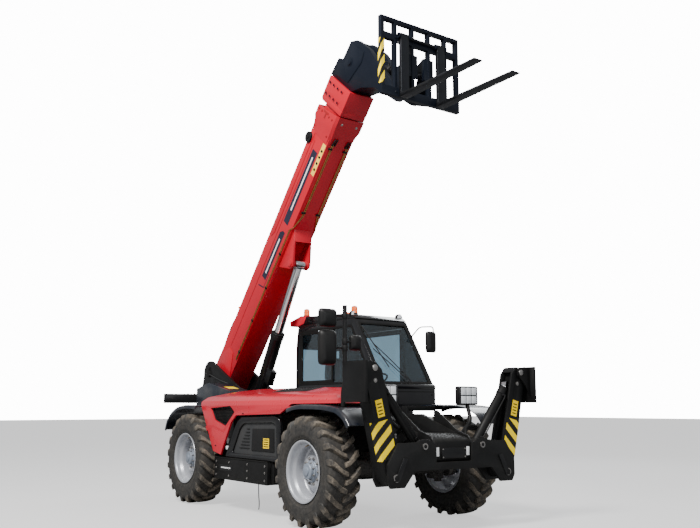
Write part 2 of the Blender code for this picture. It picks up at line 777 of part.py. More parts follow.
def make_cab_door():
    """Left door with its window cut, hinged on the rear door post."""
    hinge = axis_empty("door_hinge", (CAB_OUTER_X + 0.02, DOOR_REAR + 0.012, 0.0))
    face = CAB_OUTER_X + 0.001
    door = prism("X", door_outline(PLAY), face - DOOR_THICKNESS, face)
    window = prism("X", door_outline(0.075), face - 0.2, face + 0.1)
    low = block((face - 0.3, face + 0.2), (DOOR_FRONT - 0.2, DOOR_REAR + 0.2), (0.0, 1.36))
    window = cut(window, low)
    door = cut(door, window)
    for z in (1.05, 2.10):
        leaf = block((CAB_OUTER_X + GAP, CAB_OUTER_X + 0.014), (DOOR_REAR - 0.07, DOOR_REAR + 0.012),
                     (z - 0.05, z + 0.05))
        barrel = rod((CAB_OUTER_X + 0.02, DOOR_REAR + 0.012, z - 0.05),
                     (CAB_OUTER_X + 0.02, DOOR_REAR + 0.012, z + 0.05), 0.014, 12)
        door = union(door, leaf, barrel)
    shift_origin(door, hinge)
    finish(door, "cab_door", "black_paint", hinge, smooth=False)
    pane = prism("X", door_outline(0.075 + GAP), face - 0.03, face - 0.03 + GLASS)
    pane = cut(pane, block((face - 0.3, face + 0.2), (DOOR_FRONT - 0.2, DOOR_REAR + 0.2), (0.0, 1.36 + GAP)))
    shift_origin(pane, hinge)
    finish(pane, "door_window", "glass", hinge, smooth=False)


def shift_origin(piece, carrier):
    """Move a piece modelled in world coordinates into its carrier's own frame."""
    bpy.context.view_layer.update()
    piece.data.transform(carrier.matrix_world.inverted())
    return piece


def make_cab_glass():
    """Windscreen, right window and rear window, each in its opening."""
    inner = CAB_INNER_X + 0.05 + GAP
    outer = CAB_OUTER_X - 0.05 - GAP
    pane = windscreen_frame(0.03 + GAP, 0.012, 0.0, GLASS * 1.2)
    finish(prism("X", pane, inner, outer), "windscreen", "glass", smooth=False)
    side_pane = prism("X", right_window_outline(-GAP), CAB_INNER_X + 0.012, CAB_INNER_X + 0.012 + GLASS)
    finish(side_pane, "right_window", "glass", smooth=False)
    rear_x, rear_z = rear_window_limits(-GAP)
    y = station(CAB_REAR_STATION) - 0.02
    finish(block(rear_x, (y - GLASS, y), rear_z), "rear_window", "glass", smooth=False)


def make_cab_roof():
    """Roof cap with a red visor at its rear."""
    bottom = CAB_ROOF_Z + GAP
    outline = [
        (PILLAR_HEAD[0] - 0.02, bottom),
        (station(CAB_REAR_STATION) - 0.05, bottom),
        (station(2.62), 2.52),
        (station(2.64), 2.58),
        (station(2.35), 2.63),
        (station(1.25), 2.585),
        (station(1.05), 2.55),
    ]
    roof = prism("X", outline, CAB_INNER_X + 0.01, CAB_OUTER_X - 0.01)
    return finish(roof, "cab_roof", "red_paint", smooth=False)


def make_cab_interior():
    """Seat and steering console on the cab floor."""
    floor = CAB_FLOOR_Z + CAB_WALL + GAP
    middle = (CAB_INNER_X + CAB_OUTER_X) / 2
    base = block((middle - 0.20, middle + 0.20), (station(1.55), station(2.02)), (floor, 1.26))
    cushion = block((middle - 0.25, middle + 0.25), (station(1.45), station(1.98)), (1.24, 1.38))
    back_outline = [
        (station(1.88), 1.32),
        (station(2.02), 1.30),
        (station(2.16), 1.98),
        (station(2.10), 2.04),
        (station(2.03), 1.96),
    ]
    backrest = prism("X", back_outline, middle - 0.23, middle + 0.23)
    finish(union(base, cushion, backrest), "seat", "seat_fabric", smooth=False)
    console_outline = [
        (station(0.93), floor),
        (station(1.12), floor),
        (station(1.02), 1.52),
        (station(0.66), 1.56),
        (station(0.60), 1.40),
        (station(0.93), 1.33),
    ]
    console = prism("X", console_outline, middle - 0.17, middle + 0.17)
    hub = Vector((middle, station(1.14), 1.68))
    lean = Vector((0.0, 0.45, 0.89)).normalized()
    column = rod((middle, station(0.92), 1.40), hub, 0.03, 12)
    console = union(console, column)
    wheel = rod(hub - lean * 0.012, hub + lean * 0.012, 0.19)
    wheel = cut(wheel, wheel_opening(hub, lean))
    finish(union(console, wheel), "steering_console", "trim_plastic", smooth=False)


def wheel_opening(hub, lean):
    """The two openings between the steering wheel's rim and its spoke."""
    opening = rod(hub - lean * 0.1, hub + lean * 0.1, 0.162)
    spoke = block((hub.x - 0.3, hub.x + 0.3), (hub.y - 0.035, hub.y + 0.035), (hub.z - 0.3, hub.z + 0.3))
    return cut(opening, spoke)


def make_left_mirror():
    """Mirror on a bent arm at the left front pillar."""
    slope = (PILLAR_HEAD[0] - PILLAR_FOOT[0]) / (PILLAR_HEAD[1] - PILLAR_FOOT[1])
    z = 2.28
    x = CAB_OUTER_X + GAP
    y = PILLAR_FOOT[0] + slope * (z - PILLAR_FOOT[1]) + 0.03
    top = z + 0.14
    mirror = union(
        block((x, x + 0.02), (y - 0.02, y + 0.03), (z - 0.04, z + 0.04)),
        rod((x + 0.014, y, z), (x + 0.04, y - 0.15, top), 0.011, 10),
        rod((x + 0.04, y - 0.15, top), (x + 0.28, y - 0.15, top + 0.01), 0.011, 10),
        rod((x + 0.28, y - 0.15, top + 0.015), (x + 0.28, y - 0.15, top - 0.12), 0.011, 10),
        block((x + 0.15, x + 0.33), (y - 0.19, y - 0.12), (top - 0.36, top - 0.06)),
    )
    return finish(mirror, "left_mirror", "trim_plastic", smooth=False)


# ---- Engine hood --------------------------------------------------------------------
def hood_side_outline(wall):
    """Side view of the hood, or of its inside when a wall is given."""
    rear = wall
    top = HOOD_TOP_Z - wall
    drop = 0.6 if wall else 0.0
    return [
        (station(2.39) - rear, 0.74 - drop * 0.3),
        (station(2.82) - rear * 1.3, 1.38 - wall),
        (station(2.74) - rear, 1.46 - wall),
        (station(2.40), 1.53 - wall),
        (station(2.00), top),
        (station(0.50), top),
        (station(0.00), 1.53 - wall),
        (station(-0.30), 1.48 - wall),
        (station(-0.50) + wall, 1.42 - wall),
        (station(-0.55) + wall, FENDER_TOP_Z + 0.012 - drop * 0.1),
        (station(0.40), FENDER_TOP_Z + 0.008 - drop * 0.1),
        (station(0.66), 1.24 - drop),
        (station(1.76), 1.215 - drop),
        (station(1.90), 1.12 - drop),
        (station(2.17), 0.70 - drop * 0.4),
    ]


def hood_cross_outline(wall):
    """Section across the hood, or of its inside when a wall is given."""
    outer = -(HOOD_OUTER_X - wall)
    top = HOOD_TOP_Z - wall
    inner = -HOOD_INNER_X + (0.1 if wall else 0.0)
    return [
        (outer, 0.0),
        (outer, 1.34),
        (outer + 0.02, 1.40),
        (outer + 0.08, 1.45 - wall * 0.5),
        (-0.86, 1.505 - wall),
        (-0.66, 1.548 - wall),
        (-0.55, top + 0.01),
        (inner, top + 0.01),
        (inner, 0.0),
    ]


def make_engine_hood():
    """Hood shell, open below and toward the boom, hinged along its inner edge."""
    hinge = axis_empty("hood_hinge", (-HOOD_INNER_X, 0.0, HOOD_TOP_Z - 0.012))
    hood = prism("X", hood_side_outline(0.0), -HOOD_OUTER_X - 0.1, -HOOD_INNER_X)
    hood = shared(hood, prism("Y", hood_cross_outline(0.0), station(-1.0), station(3.2)))
    inside = prism("X", hood_side_outline(HOOD_WALL), -HOOD_OUTER_X - 0.1, -HOOD_INNER_X + 0.1)
    inside = shared(inside, prism("Y", hood_cross_outline(HOOD_WALL), station(-1.0), station(3.2)))
    hood = cut(hood, inside)
    shift_origin(hood, hinge)
    finish(hood, "engine_hood", "red_paint", hinge, smooth=False)


# ---- Wheels -------------------------------------------------------------------------
def tyre_profile():
    """Closed section of the tyre, as (x, radius) points."""
    bead = RIM_RADIUS - 0.025 + GAP
    half_seat = RIM_WIDTH / 2 - 0.015 - GAP
    half = TYRE_WIDTH / 2
    crown = TYRE_RADIUS / math.cos(math.pi / WHEEL_ROUND)
    side = [(half_seat, bead), (half_seat, RIM_RADIUS + 0.03), (half - 0.005, RIM_RADIUS + 0.09),
            (half, crown - 0.13), (half - 0.012, crown - 0.045), (half - 0.06, crown - 0.008)]
    flipped = [(-x, radius) for x, radius in reversed(side)]
    return side + [(0.0, crown)] + flipped


def rim_profile():
    """Closed section of the rim with its dished disc, outer side positive."""
    seat = RIM_RADIUS - 0.025
    half = RIM_WIDTH / 2
    return [
        (half, RIM_RADIUS),
        (half - 0.015, RIM_RADIUS),
        (half - 0.015, seat),
        (-half + 0.015, seat),
        (-half + 0.015, RIM_RADIUS),
        (-half, RIM_RADIUS),
        (-half, seat - 0.02),
        (-0.02, seat - 0.02),
        (-0.04, 0.21),
        (-0.045, 0.155),
        (-0.045, 0.0),
        (0.085, 0.0),
        (0.085, 0.075),
        (0.06, 0.095),
        (0.0, 0.105),
        (-0.02, 0.13),
        (-0.02, 0.19),
        (0.03, 0.25),
        (0.05, seat - 0.02),
        (half, seat - 0.02),
    ]


def make_wheel_set(axle_name, side_name):
    """Knuckle, rim and tyre of one wheel, each on its own axis."""
    side = SIDES[side_name]
    y = station(AXLE_STATIONS[axle_name])
    label = f"{axle_name}_{side_name}"
    steer = axis_empty(f"steer_{label}", (side * KING_PIN_X, y, TYRE_RADIUS))
    spindle = KING_PIN_INSET - 0.045 - GAP
    knuckle = union(
        rod((0.0, 0.0, -0.109), (0.0, 0.0, 0.109), 0.07),
        rod((0.0, 0.0, -0.20), (0.0, 0.0, 0.20), KING_PIN_RADIUS, SMALL_ROUND),
        rod((0.0, 0.0, 0.0), (side * spindle, 0.0, 0.0), 0.085),
        rod((side * (spindle - 0.06), 0.0, 0.0), (side * spindle, 0.0, 0.0), 0.145),
    )
    finish(knuckle, f"knuckle_{label}", "cast_iron", steer)
    spin = axis_empty(f"spin_{label}", (side * WHEEL_X, y, TYRE_RADIUS))
    rim = turned(rim_profile(), WHEEL_ROUND, side=side)
    finish(rim, f"rim_{label}", "rim_paint", spin)
    tyre = turned(tyre_profile(), WHEEL_ROUND, side=side)
    finish(tyre, f"tyre_{label}", "rubber", spin)


# ---- Boom ---------------------------------------------------------------------------
def section(start, end, shrink, wall):
    """One hollow boom section lying along -Y, smaller all round by the shrink."""
    half = BOOM_WIDTH / 2 - shrink
    top = BOOM_ABOVE_PIN - shrink
    bottom = -BOOM_BELOW_PIN + shrink
    tube = block((-half, half), (-end, -start), (bottom, top))
    hollow = block((-half + wall, half - wall), (-end - 0.1, -start + 0.1), (bottom + wall, top - wall))
    return cut(tube, hollow)


def wear_pads(reach, length, shrink, play):
    """Pads inside a section's mouth that carry the next section."""
    half = BOOM_WIDTH / 2 - shrink
    top = BOOM_ABOVE_PIN - shrink
    bottom = -BOOM_BELOW_PIN + shrink
    thick = play - GAP
    along = (-reach, -reach + length)
    overlap = 0.005
    return (
        block((-half * 0.6, half * 0.6), along, (top - thick, top + overlap)),
        block((-half * 0.6, half * 0.6), along, (bottom - overlap, bottom + thick)),
        block((half - thick, half + overlap), along, (bottom * 0.75, top * 0.2)),
        block((-half - overlap, -half + thick), along, (bottom * 0.75, top * 0.2)),
    )


def make_boom():
    """Three telescoping sections, all modelled lying flat from the lift pivot."""
    pivot = axis_empty("boom_pivot", BOOM_PIVOT, -BOOM_RISE)
    outer = section(-0.14, OUTER_LENGTH, 0.0, BOOM_WALL)
    outer_inside = BOOM_WALL
    outer = union(outer, *wear_pads(OUTER_LENGTH, 0.20, outer_inside, SECTION_PLAY))
    boss = rod((-SLOT_HALF + PLAY, 0, 0), (SLOT_HALF - PLAY, 0, 0), BOOM_ABOVE_PIN + 0.02)
    outer = union(outer, boss, *lift_bracket())
    outer = bored(outer, (-0.4, 0, 0), (0.4, 0, 0), BOOM_PIN_RADIUS + GAP)
    finish(outer, "boom_outer", "red_paint", pivot, smooth=False)

    middle_shrink = outer_inside + SECTION_PLAY
    middle = section(0.15, MIDDLE_LENGTH, middle_shrink, 0.016)
    inner_play = middle_shrink + 0.016
    middle = union(middle, *wear_pads(MIDDLE_LENGTH, 0.20, inner_play, SECTION_PLAY))
    finish(middle, "boom_middle", "red_paint", pivot, smooth=False)

    inner_shrink = inner_play + SECTION_PLAY
    inner = section(0.22, INNER_LENGTH - 0.02, inner_shrink, 0.014)
    head = block((-0.20, 0.20), (-INNER_LENGTH, -INNER_LENGTH + 0.28), (-0.48, BOOM_ABOVE_PIN + 0.06))
    inner = union(inner, head)
    finish(inner, "boom_inner", "red_paint", pivot, smooth=False)
    make_boom_head(pivot)


def lift_bracket():
    """The box under the outer section that holds the lift cylinder's eye: two cheeks and a floor."""
    top = -BOOM_BELOW_PIN + 0.01
    outline = [
        (-LIFT_PIN_REACH - 0.44, top),
        (-LIFT_PIN_REACH - 0.07, -LIFT_PIN_DROP - 0.045),
        (-LIFT_PIN_REACH, -LIFT_PIN_DROP - 0.075),
        (-LIFT_PIN_REACH + 0.07, -LIFT_PIN_DROP - 0.04),
        (-LIFT_PIN_REACH + 0.22, top),
    ]
    low = (-LIFT_PIN_REACH - 0.30, -LIFT_PIN_DROP + 0.115)
    floor = [outline[0], low, (low[0], low[1] + 0.02), (outline[0][0] + 0.03, top)]
    parts = [prism("X", floor, -0.13, 0.13)]
    for side in SIDES.values():
        parts.append(prism("X", outline, *side_range(side, 0.12, 0.15)))
        parts.append(rod((side * 0.08, -LIFT_PIN_REACH, -LIFT_PIN_DROP),
                         (side * 0.165, -LIFT_PIN_REACH, -LIFT_PIN_DROP), LIFT_PIN_RADIUS + 0.015))
    return parts


def make_boom_head(pivot):
    """The black head that drops from the boom's end to the carriage."""
    face = -INNER_LENGTH - GAP
    pin = head_frame_point(TILT_PIN)
    outline = [
        (face, -0.43),
        (face, 0.20),
        (-5.41, 0.17),
        (-5.44, 0.06),
        (-5.70, 0.04),
        (-5.77, -0.10),
        (-5.77, -0.44),
        (-5.68, -0.80),
        (pin[0] - 0.07, pin[1] + 0.04),
        *arc(pin, 0.085, 200, 340, 5),
        (-5.42, -0.90),
        (-5.30, -0.62),
    ]
    head = prism("X", outline, -HEAD_HALF, HEAD_HALF)
    slot = block((-0.085, 0.085), (-6.0, -5.385), (-1.7, -0.06))
    head = cut(head, slot)
    base = head_frame_point(TILT_BASE)
    head = union(
        head,
        rod((-0.12, base[0], base[1]), (0.12, base[0], base[1]), 0.025),
        rod((-0.22, pin[0], pin[1]), (0.22, pin[0], pin[1]), SMALL_PIN_RADIUS),
    )
    finish(head, "boom_head", "navy_paint", pivot, smooth=False)


def head_frame_point(place):
    """A world point in the flat-lying boom's own (y, z)."""
    offset = place - BOOM_PIVOT
    along = -offset.y * math.cos(BOOM_RISE) + offset.z * math.sin(BOOM_RISE)
    rise = offset.y * math.sin(BOOM_RISE) + offset.z * math.cos(BOOM_RISE)
    return (-along, rise)


def cylinder_turn(base, eye):
    """Rotation about X that turns -Y along the line from a base pin to an eye."""
    span = eye - base
    return -math.atan2(span.z, -span.y)


def barrel_and_rod(label, base, eye, sizes, valve=False):
    """A hydraulic cylinder in the YZ plane, each part hung from the base pin."""
    barrel_radius, barrel_length, rod_radius, rod_length, pin_radius, half_eye = sizes
    swing = axis_empty(f"{label}_swing", base, cylinder_turn(base, eye))
    length = (eye - base).length
    eye_radius = pin_radius + 0.022
    barrel = union(
        rod((0, -0.03, 0), (0, -barrel_length, 0), barrel_radius, ROUND),
        rod((0, -barrel_length + 0.08, 0), (0, -barrel_length, 0), barrel_radius * 1.06, ROUND),
        rod((-half_eye, 0, 0), (half_eye, 0, 0), eye_radius + 0.02),
    )
    if valve:
        barrel = union(barrel, block((-0.05, 0.05), (-1.28, -1.06), (-barrel_radius - 0.11, -barrel_radius + 0.02)))
    barrel = bored(barrel, (0, -0.085, 0), (0, -barrel_length - 0.2, 0), rod_radius + GAP, ROUND)
    barrel = bored(barrel, (-0.5, 0, 0), (0.5, 0, 0), pin_radius + GAP)
    finish(barrel, f"{label}_barrel", "black_paint", swing)
    bar = union(
        rod((0, -length + pin_radius + 0.02, 0), (0, -length + rod_length, 0), rod_radius, ROUND),
        rod((-half_eye + 0.01, -length, 0), (half_eye - 0.01, -length, 0), eye_radius),
    )
    finish(bar, f"{label}_rod", "chrome", swing)


def make_cylinders():
    """The lift cylinder under the boom and the tilt cylinder in the boom head."""
    lift = (LIFT_BARREL_RADIUS, LIFT_BARREL_LENGTH, LIFT_ROD_RADIUS, LIFT_ROD_LENGTH, LIFT_PIN_RADIUS, 0.085)
    barrel_and_rod("lift", LIFT_BASE, LIFT_EYE, lift, valve=True)
    tilt = (TILT_BARREL_RADIUS, TILT_BARREL_LENGTH, TILT_ROD_RADIUS, TILT_ROD_LENGTH, 0.025, 0.05)
    barrel_and_rod("tilt", TILT_BASE, TILT_EYE, tilt)


# ---- Fork carriage ------------------------------------------------------------------
def make_carriage():
    """Welded fork frame with its bars, uprights and the lugs to the boom head."""
    tilt = axis_empty("carriage_tilt", TILT_PIN)
    y = station(CARRIAGE_STATION) - TILT_PIN.y
    low = CARRIAGE_BOTTOM - TILT_PIN.z
    high = CARRIAGE_TOP - TILT_PIN.z
    front = y - 0.03
    rear = y + 0.03
    bars = [(low, low + 0.11), (high - 0.28, high - 0.20), (high - 0.05, high)]
    carriage = block((-CARRIAGE_HALF, CARRIAGE_HALF), (front, rear), bars[0])
    for bar in bars[1:]:
        carriage = union(carriage, block((-CARRIAGE_HALF, CARRIAGE_HALF), (front, rear), bar))
    for side in SIDES.values():
        for inner, outer in ((CARRIAGE_HALF - 0.05, CARRIAGE_HALF), (0.38, 0.42), (0.11, 0.15)):
            carriage = union(carriage, block(side_range(side, inner, outer), (front, rear), (low, high)))
    eye = TILT_EYE - TILT_PIN
    lug = [
        (rear - 0.02, low),
        (0.02, -0.07),
        (0.07, 0.0),
        (0.055, 0.06),
        (eye.y + 0.05, eye.z + 0.04),
        (rear - 0.02, eye.z + 0.10),
    ]
    for side in SIDES.values():
        carriage = union(carriage, prism("X", lug, *side_range(side, HEAD_HALF + PLAY, HEAD_HALF + PLAY + 0.03)))
        inner_lug = [(rear - 0.02, eye.z - 0.14), (eye.y + 0.045, eye.z - 0.03), (eye.y + 0.045, eye.z + 0.03),
                     (rear - 0.02, eye.z + 0.14)]
        carriage = union(carriage, prism("X", inner_lug, *side_range(side, 0.052, 0.078)))
        carriage = union(carriage, block(side_range(side, 0.052, 0.2), (front + 0.01, rear),
                                         (eye.z - 0.14, eye.z + 0.14)))
    carriage = bored(carriage, (-0.5, 0, 0), (0.5, 0, 0), SMALL_PIN_RADIUS + GAP)
    finish(carriage, "fork_carriage", "navy_paint", tilt, smooth=False)
    make_forks(tilt, front - GAP, low)


def make_forks(tilt, face, low):
    """The two forks, joined by the shaft that they hang from."""
    heel = 0.045
    outline = [
        (face, low + FORK_HEIGHT),
        (face - heel, low + FORK_HEIGHT),
        (face - heel, low + 0.065),
        (face - heel - 0.02, low + 0.045),
        (face - heel - FORK_LENGTH, low + 0.045),
        (face - heel - FORK_LENGTH, low + 0.03),
        (face - heel - 0.12, low),
        (face, low),
    ]
    shaft_z = low + FORK_HEIGHT - 0.03
    half = FORK_SPACING / 2
    forks = rod((-half, face - 0.022, shaft_z), (half, face - 0.022, shaft_z), 0.018, 12)
    for side in SIDES.values():
        centre = side * half
        forks = union(forks, prism("X", outline, centre - FORK_WIDTH / 2, centre + FORK_WIDTH / 2))
    finish(forks, "forks", "fork_steel", tilt, smooth=False)


# ---- Stabilisers --------------------------------------------------------------------
def make_stabiliser(side_name):
    """Folded leg with its pad and cylinder, modelled standing as it is stowed."""
    side = SIDES[side_name]
    middle = station(LEG_STATION)
    hinge = axis_empty(f"leg_hinge_{side_name}", (side * LEG_PIVOT_X, middle, LEG_PIVOT_Z))
    half = LEG_THICKNESS / 2
    tip = Vector((LEG_TIP_X - LEG_PIVOT_X, LEG_TIP_Z - LEG_PIVOT_Z))
    length = tip.length
    along = tip.normalized()
    across = Vector((along.y, -along.x))

    def spot(reach, out):
        place = along * reach + across * out
        return (side * place.x, place.y)

    outline = [
        spot(-0.075, -0.04), spot(-0.075, 0.04), spot(-0.02, 0.09), spot(0.12, LEG_WIDTH / 2),
        spot(length - 0.05, LEG_WIDTH / 2), spot(length + 0.055, 0.05), spot(length + 0.055, -0.05),
        spot(length - 0.04, -LEG_WIDTH / 2), spot(0.12, -LEG_WIDTH / 2), spot(-0.02, -0.09),
    ]
    leg = prism("Y", outline, -half, half)
    floor = -SMALL_PIN_RADIUS - 0.007
    slot = [spot(-0.2, floor), spot(length - 0.02, floor), spot(length - 0.02, -0.3), spot(-0.2, -0.3)]
    leg = cut(leg, prism("Y", slot, -0.068, 0.068))
    leg = bored(leg, (0, -0.3, 0), (0, 0.3, 0), SMALL_PIN_RADIUS + GAP)
    end = (side * tip.x, tip.y)
    leg = bored(leg, (end[0], -0.3, end[1]), (end[0], 0.3, end[1]), 0.022 + GAP)
    finish(leg, f"stabiliser_leg_{side_name}", "frame_paint", hinge, smooth=False)
    make_pad(side_name, side, middle)
    make_leg_cylinder(side_name, side, middle)


def make_pad(side_name, side, middle):
    """Ground pad folded against the leg's outer side."""
    hinge = axis_empty(f"pad_hinge_{side_name}", (side * LEG_TIP_X, middle, LEG_TIP_Z))
    face = 0.145
    top = 0.07
    pad = block(side_range(side, face, face + 0.03), (-PAD_WIDTH / 2, PAD_WIDTH / 2), (top - PAD_LENGTH, top))
    lug = mirrored([(-0.04, -0.035), (-0.04, 0.035), (0.0, 0.05), (face + 0.01, 0.06), (face + 0.01, -0.22)], side)
    half = LEG_THICKNESS / 2 + PLAY
    for end in (-1.0, 1.0):
        pad = union(pad, prism("Y", lug, *sorted((end * half, end * (half + 0.022)))))
    pad = union(pad, rod((0, -half - 0.03, 0), (0, half + 0.03, 0), 0.022))
    finish(pad, f"stabiliser_pad_{side_name}", "frame_paint", hinge, smooth=False)


def make_leg_cylinder(side_name, side, middle):
    """The stabiliser's cylinder in the XZ plane, hung from its pin in the beam."""
    base = Vector((side * LEG_CYLINDER_X, middle, LEG_CYLINDER_Z))
    eye = Vector((side * LEG_EYE_X, middle, LEG_EYE_Z))
    swing = axis_empty(f"leg_cylinder_{side_name}", base)
    span = eye - base
    way = span.normalized()
    across = Vector((0, 1, 0))
    barrel = union(
        rod(way * 0.02, way * LEG_BARREL_LENGTH, LEG_BARREL_RADIUS, ROUND),
        rod(-0.045 * across, 0.045 * across, 0.04),
    )
    barrel = bored(barrel, way * 0.07, way * (LEG_BARREL_LENGTH + 0.1), LEG_ROD_RADIUS + GAP)
    barrel = bored(barrel, -0.2 * across, 0.2 * across, 0.02 + GAP)
    finish(barrel, f"stabiliser_barrel_{side_name}", "black_paint", swing)
    bar = union(
        rod(span - way * LEG_ROD_LENGTH, span, LEG_ROD_RADIUS),
        rod(span - 0.035 * across, span + 0.035 * across, 0.038),
    )
    finish(bar, f"stabiliser_rod_{side_name}", "chrome", swing)


# ---- Assembly -----------------------------------------------------------------------
def clear_scene():
    """Remove everything the scene starts with."""
    for item in list(bpy.data.objects):
        bpy.data.objects.remove(item)


def main():
    """Build the whole machine."""
    clear_scene()
    make_main_frame()
    make_front_nose()
    make_stabiliser_beam()
    make_axle("front_axle", AXLE_STATIONS["front"])
    make_axle("rear_axle", AXLE_STATIONS["rear"])
    make_engine()
    make_engine_platform()
    make_hydraulic_tank()
    make_fuel_tank()
    make_rear_light_beam()
    make_mirror_post()
    make_ground_strap()
    make_cab_shell()
    make_cab_door()
    make_cab_glass()
    make_cab_roof()
    make_cab_interior()
    make_left_mirror()
    make_engine_hood()
    for side_name in SIDES:
        make_work_lamp(side_name)
        make_stabiliser(side_name)
        for axle_name in AXLE_STATIONS:
            make_fender(axle_name, side_name)
            make_wheel_set(axle_name, side_name)
    make_boom()
    make_cylinders()
    make_carriage()


main()
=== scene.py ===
import json
import logging
import math
import random
from collections.abc import Callable, Iterable, Sequence
from dataclasses import dataclass, field
from enum import Enum

import bmesh
import bpy
from mathutils import Matrix, Vector


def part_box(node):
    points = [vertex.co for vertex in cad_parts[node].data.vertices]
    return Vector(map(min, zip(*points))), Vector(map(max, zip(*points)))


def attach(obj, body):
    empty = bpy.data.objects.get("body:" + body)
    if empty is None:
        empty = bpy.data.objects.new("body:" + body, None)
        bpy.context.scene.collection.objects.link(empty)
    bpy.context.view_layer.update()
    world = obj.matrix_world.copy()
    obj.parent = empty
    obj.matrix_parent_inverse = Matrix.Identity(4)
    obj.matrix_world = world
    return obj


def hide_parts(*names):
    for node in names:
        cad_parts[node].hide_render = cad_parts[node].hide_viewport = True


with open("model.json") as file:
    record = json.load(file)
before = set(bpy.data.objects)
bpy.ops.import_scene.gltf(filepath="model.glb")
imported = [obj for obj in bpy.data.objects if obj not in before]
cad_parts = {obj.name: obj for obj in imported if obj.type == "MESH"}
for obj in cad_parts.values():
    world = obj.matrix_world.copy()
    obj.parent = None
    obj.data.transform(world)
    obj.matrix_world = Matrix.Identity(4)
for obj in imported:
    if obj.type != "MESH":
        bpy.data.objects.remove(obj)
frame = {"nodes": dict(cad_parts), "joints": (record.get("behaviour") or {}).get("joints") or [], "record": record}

LOG = logging.getLogger("telehandler")
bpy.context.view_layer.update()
SEED = 20

Point = tuple[float, float, float]
Flat = tuple[float, float]
Route = Sequence[Sequence[float]]
Piece = bpy.types.Object
Socket = bpy.types.NodeSocket
SIDES = ((-1.0, "right"), (1.0, "left"))


# ---- Bench: the modelling tools ------------------------------------------------------


class Axis(Enum):
    """Direction that a profile is pushed or turned about."""

    X = 0
    Y = 1
    Z = 2


def standing(direction: Sequence[float]) -> Matrix:
    """Returns the matrix that turns +Z to a direction."""
    return Vector((0, 0, 1)).rotation_difference(Vector(direction).normalized()).to_matrix().to_4x4()


def shown(piece: Piece) -> Piece:
    """Puts a new object into the scene."""
    bpy.context.scene.collection.objects.link(piece)
    return piece


def added(name: str) -> Piece:
    """Names the primitive that was just added."""
    bpy.context.object.name = name
    return bpy.context.object


def squared(turn: float, power: float, high: float) -> Flat:
    """Returns a place on a rounded square at an angle, with a power for each of its directions."""
    x, z = math.cos(turn), math.sin(turn)
    return math.copysign(abs(x) ** power, x), math.copysign(abs(z) ** high, z)


def joint_place(name: str) -> Vector:
    """Returns the rest position of a joint, in metres."""
    found = next(j for j in frame["joints"] if j["name"] == name)
    return Vector(found["pos_m"])


def deselect() -> None:
    """Leaves nothing selected and nothing active."""
    if bpy.context.object is not None and bpy.context.object.mode != "OBJECT":
        bpy.ops.object.mode_set(mode="OBJECT")
    for thing in list(bpy.context.selected_objects):
        thing.select_set(False)


def take(piece: Piece) -> Piece:
    """Selects one piece alone and makes it active.

    Args:
        piece: The object to work on.

    Returns:
        The same object.
    """
    deselect()
    piece.select_set(True)
    bpy.context.view_layer.objects.active = piece
    return piece


def edit(piece: Piece) -> bmesh.types.BMesh:
    """Opens a piece in edit mode and returns its edit mesh."""
    take(piece)
    bpy.ops.object.mode_set(mode="EDIT")
    return bmesh.from_edit_mesh(piece.data)


def select_all() -> None:
    """Selects the whole mesh in edit mode."""
    bpy.ops.mesh.select_all(action="SELECT")


def close_edit() -> None:
    """Leaves edit mode."""
    bpy.ops.object.mode_set(mode="OBJECT")


def close_outward() -> None:
    """Turns every face outwards and leaves edit mode."""
    select_all()
    bpy.ops.mesh.normals_make_consistent(inside=False)
    close_edit()


def settle(piece: Piece) -> Piece:
    """Moves a piece's place, turn and scale into its mesh."""
    take(piece)
    bpy.ops.object.transform_apply(location=True, rotation=True, scale=True)
    return piece


def apply_modifier(piece: Piece, kind: str, **values: object) -> Piece:
    """Adds a modifier with the given values and applies it.

    Args:
        piece: The object to change.
        kind: Blender's name for the modifier.
        **values: The modifier's settings.

    Returns:
        The same object.
    """
    take(piece)
    modifier = piece.modifiers.new(kind.title(), kind)
    for name, value in values.items():
        setattr(modifier, name, value)
    bpy.ops.object.modifier_apply(modifier=modifier.name)
    return piece


def rounded(piece: Piece, width: float, segments: int = 2, angle: float = 35.0) -> Piece:
    """Bevels every edge sharper than an angle and smooths what is left.

    Args:
        piece: The object to change.
        width: Width of the bevel, in metres.
        segments: Steps across the bevel.
        angle: Sharpness from which an edge is bevelled, in degrees.

    Returns:
        The same object.
    """
    apply_modifier(piece, "BEVEL", width=width, segments=segments, limit_method="ANGLE",
        angle_limit=math.radians(angle), harden_normals=False, miter_outer="MITER_ARC")
    return smoothed(piece, angle)


def smoothed(piece: Piece, angle: float = 35.0) -> Piece:
    """Shades a piece smooth, with edges kept above an angle in degrees."""
    take(piece)
    bpy.ops.object.shade_smooth_by_angle(angle=math.radians(angle))
    return piece


def outward(piece: Piece) -> Piece:
    """Merges doubles and turns every face outwards."""
    edit(piece)
    select_all()
    bpy.ops.mesh.remove_doubles(threshold=0.00002)
    bpy.ops.mesh.normals_make_consistent(inside=False)
    close_edit()
    return piece


def box(name: str, low: Point, high: Point, bevel: float = 0.003, segments: int = 2) -> Piece:
    """Makes a block between two opposite corners, its edges rounded.

    Args:
        name: Name of the piece.
        low: One corner.
        high: The corner across from it.
        bevel: Width of the rounding, or 0.
        segments: Steps across the rounding.

    Returns:
        The block.
    """
    deselect()
    centre = [(a + b) / 2 for a, b in zip(low, high)]
    size = [abs(b - a) for a, b in zip(low, high)]
    bpy.ops.mesh.primitive_cube_add(size=1.0, location=centre, scale=size)
    piece = added(name)
    settle(piece)
    if bevel:
        edit(piece)
        select_all()
        bpy.ops.mesh.bevel(offset=min(bevel, min(size) * 0.45), segments=segments, affect="EDGES", clamp_overlap=True)
        close_edit()
        smoothed(piece, 40.0)
    return piece


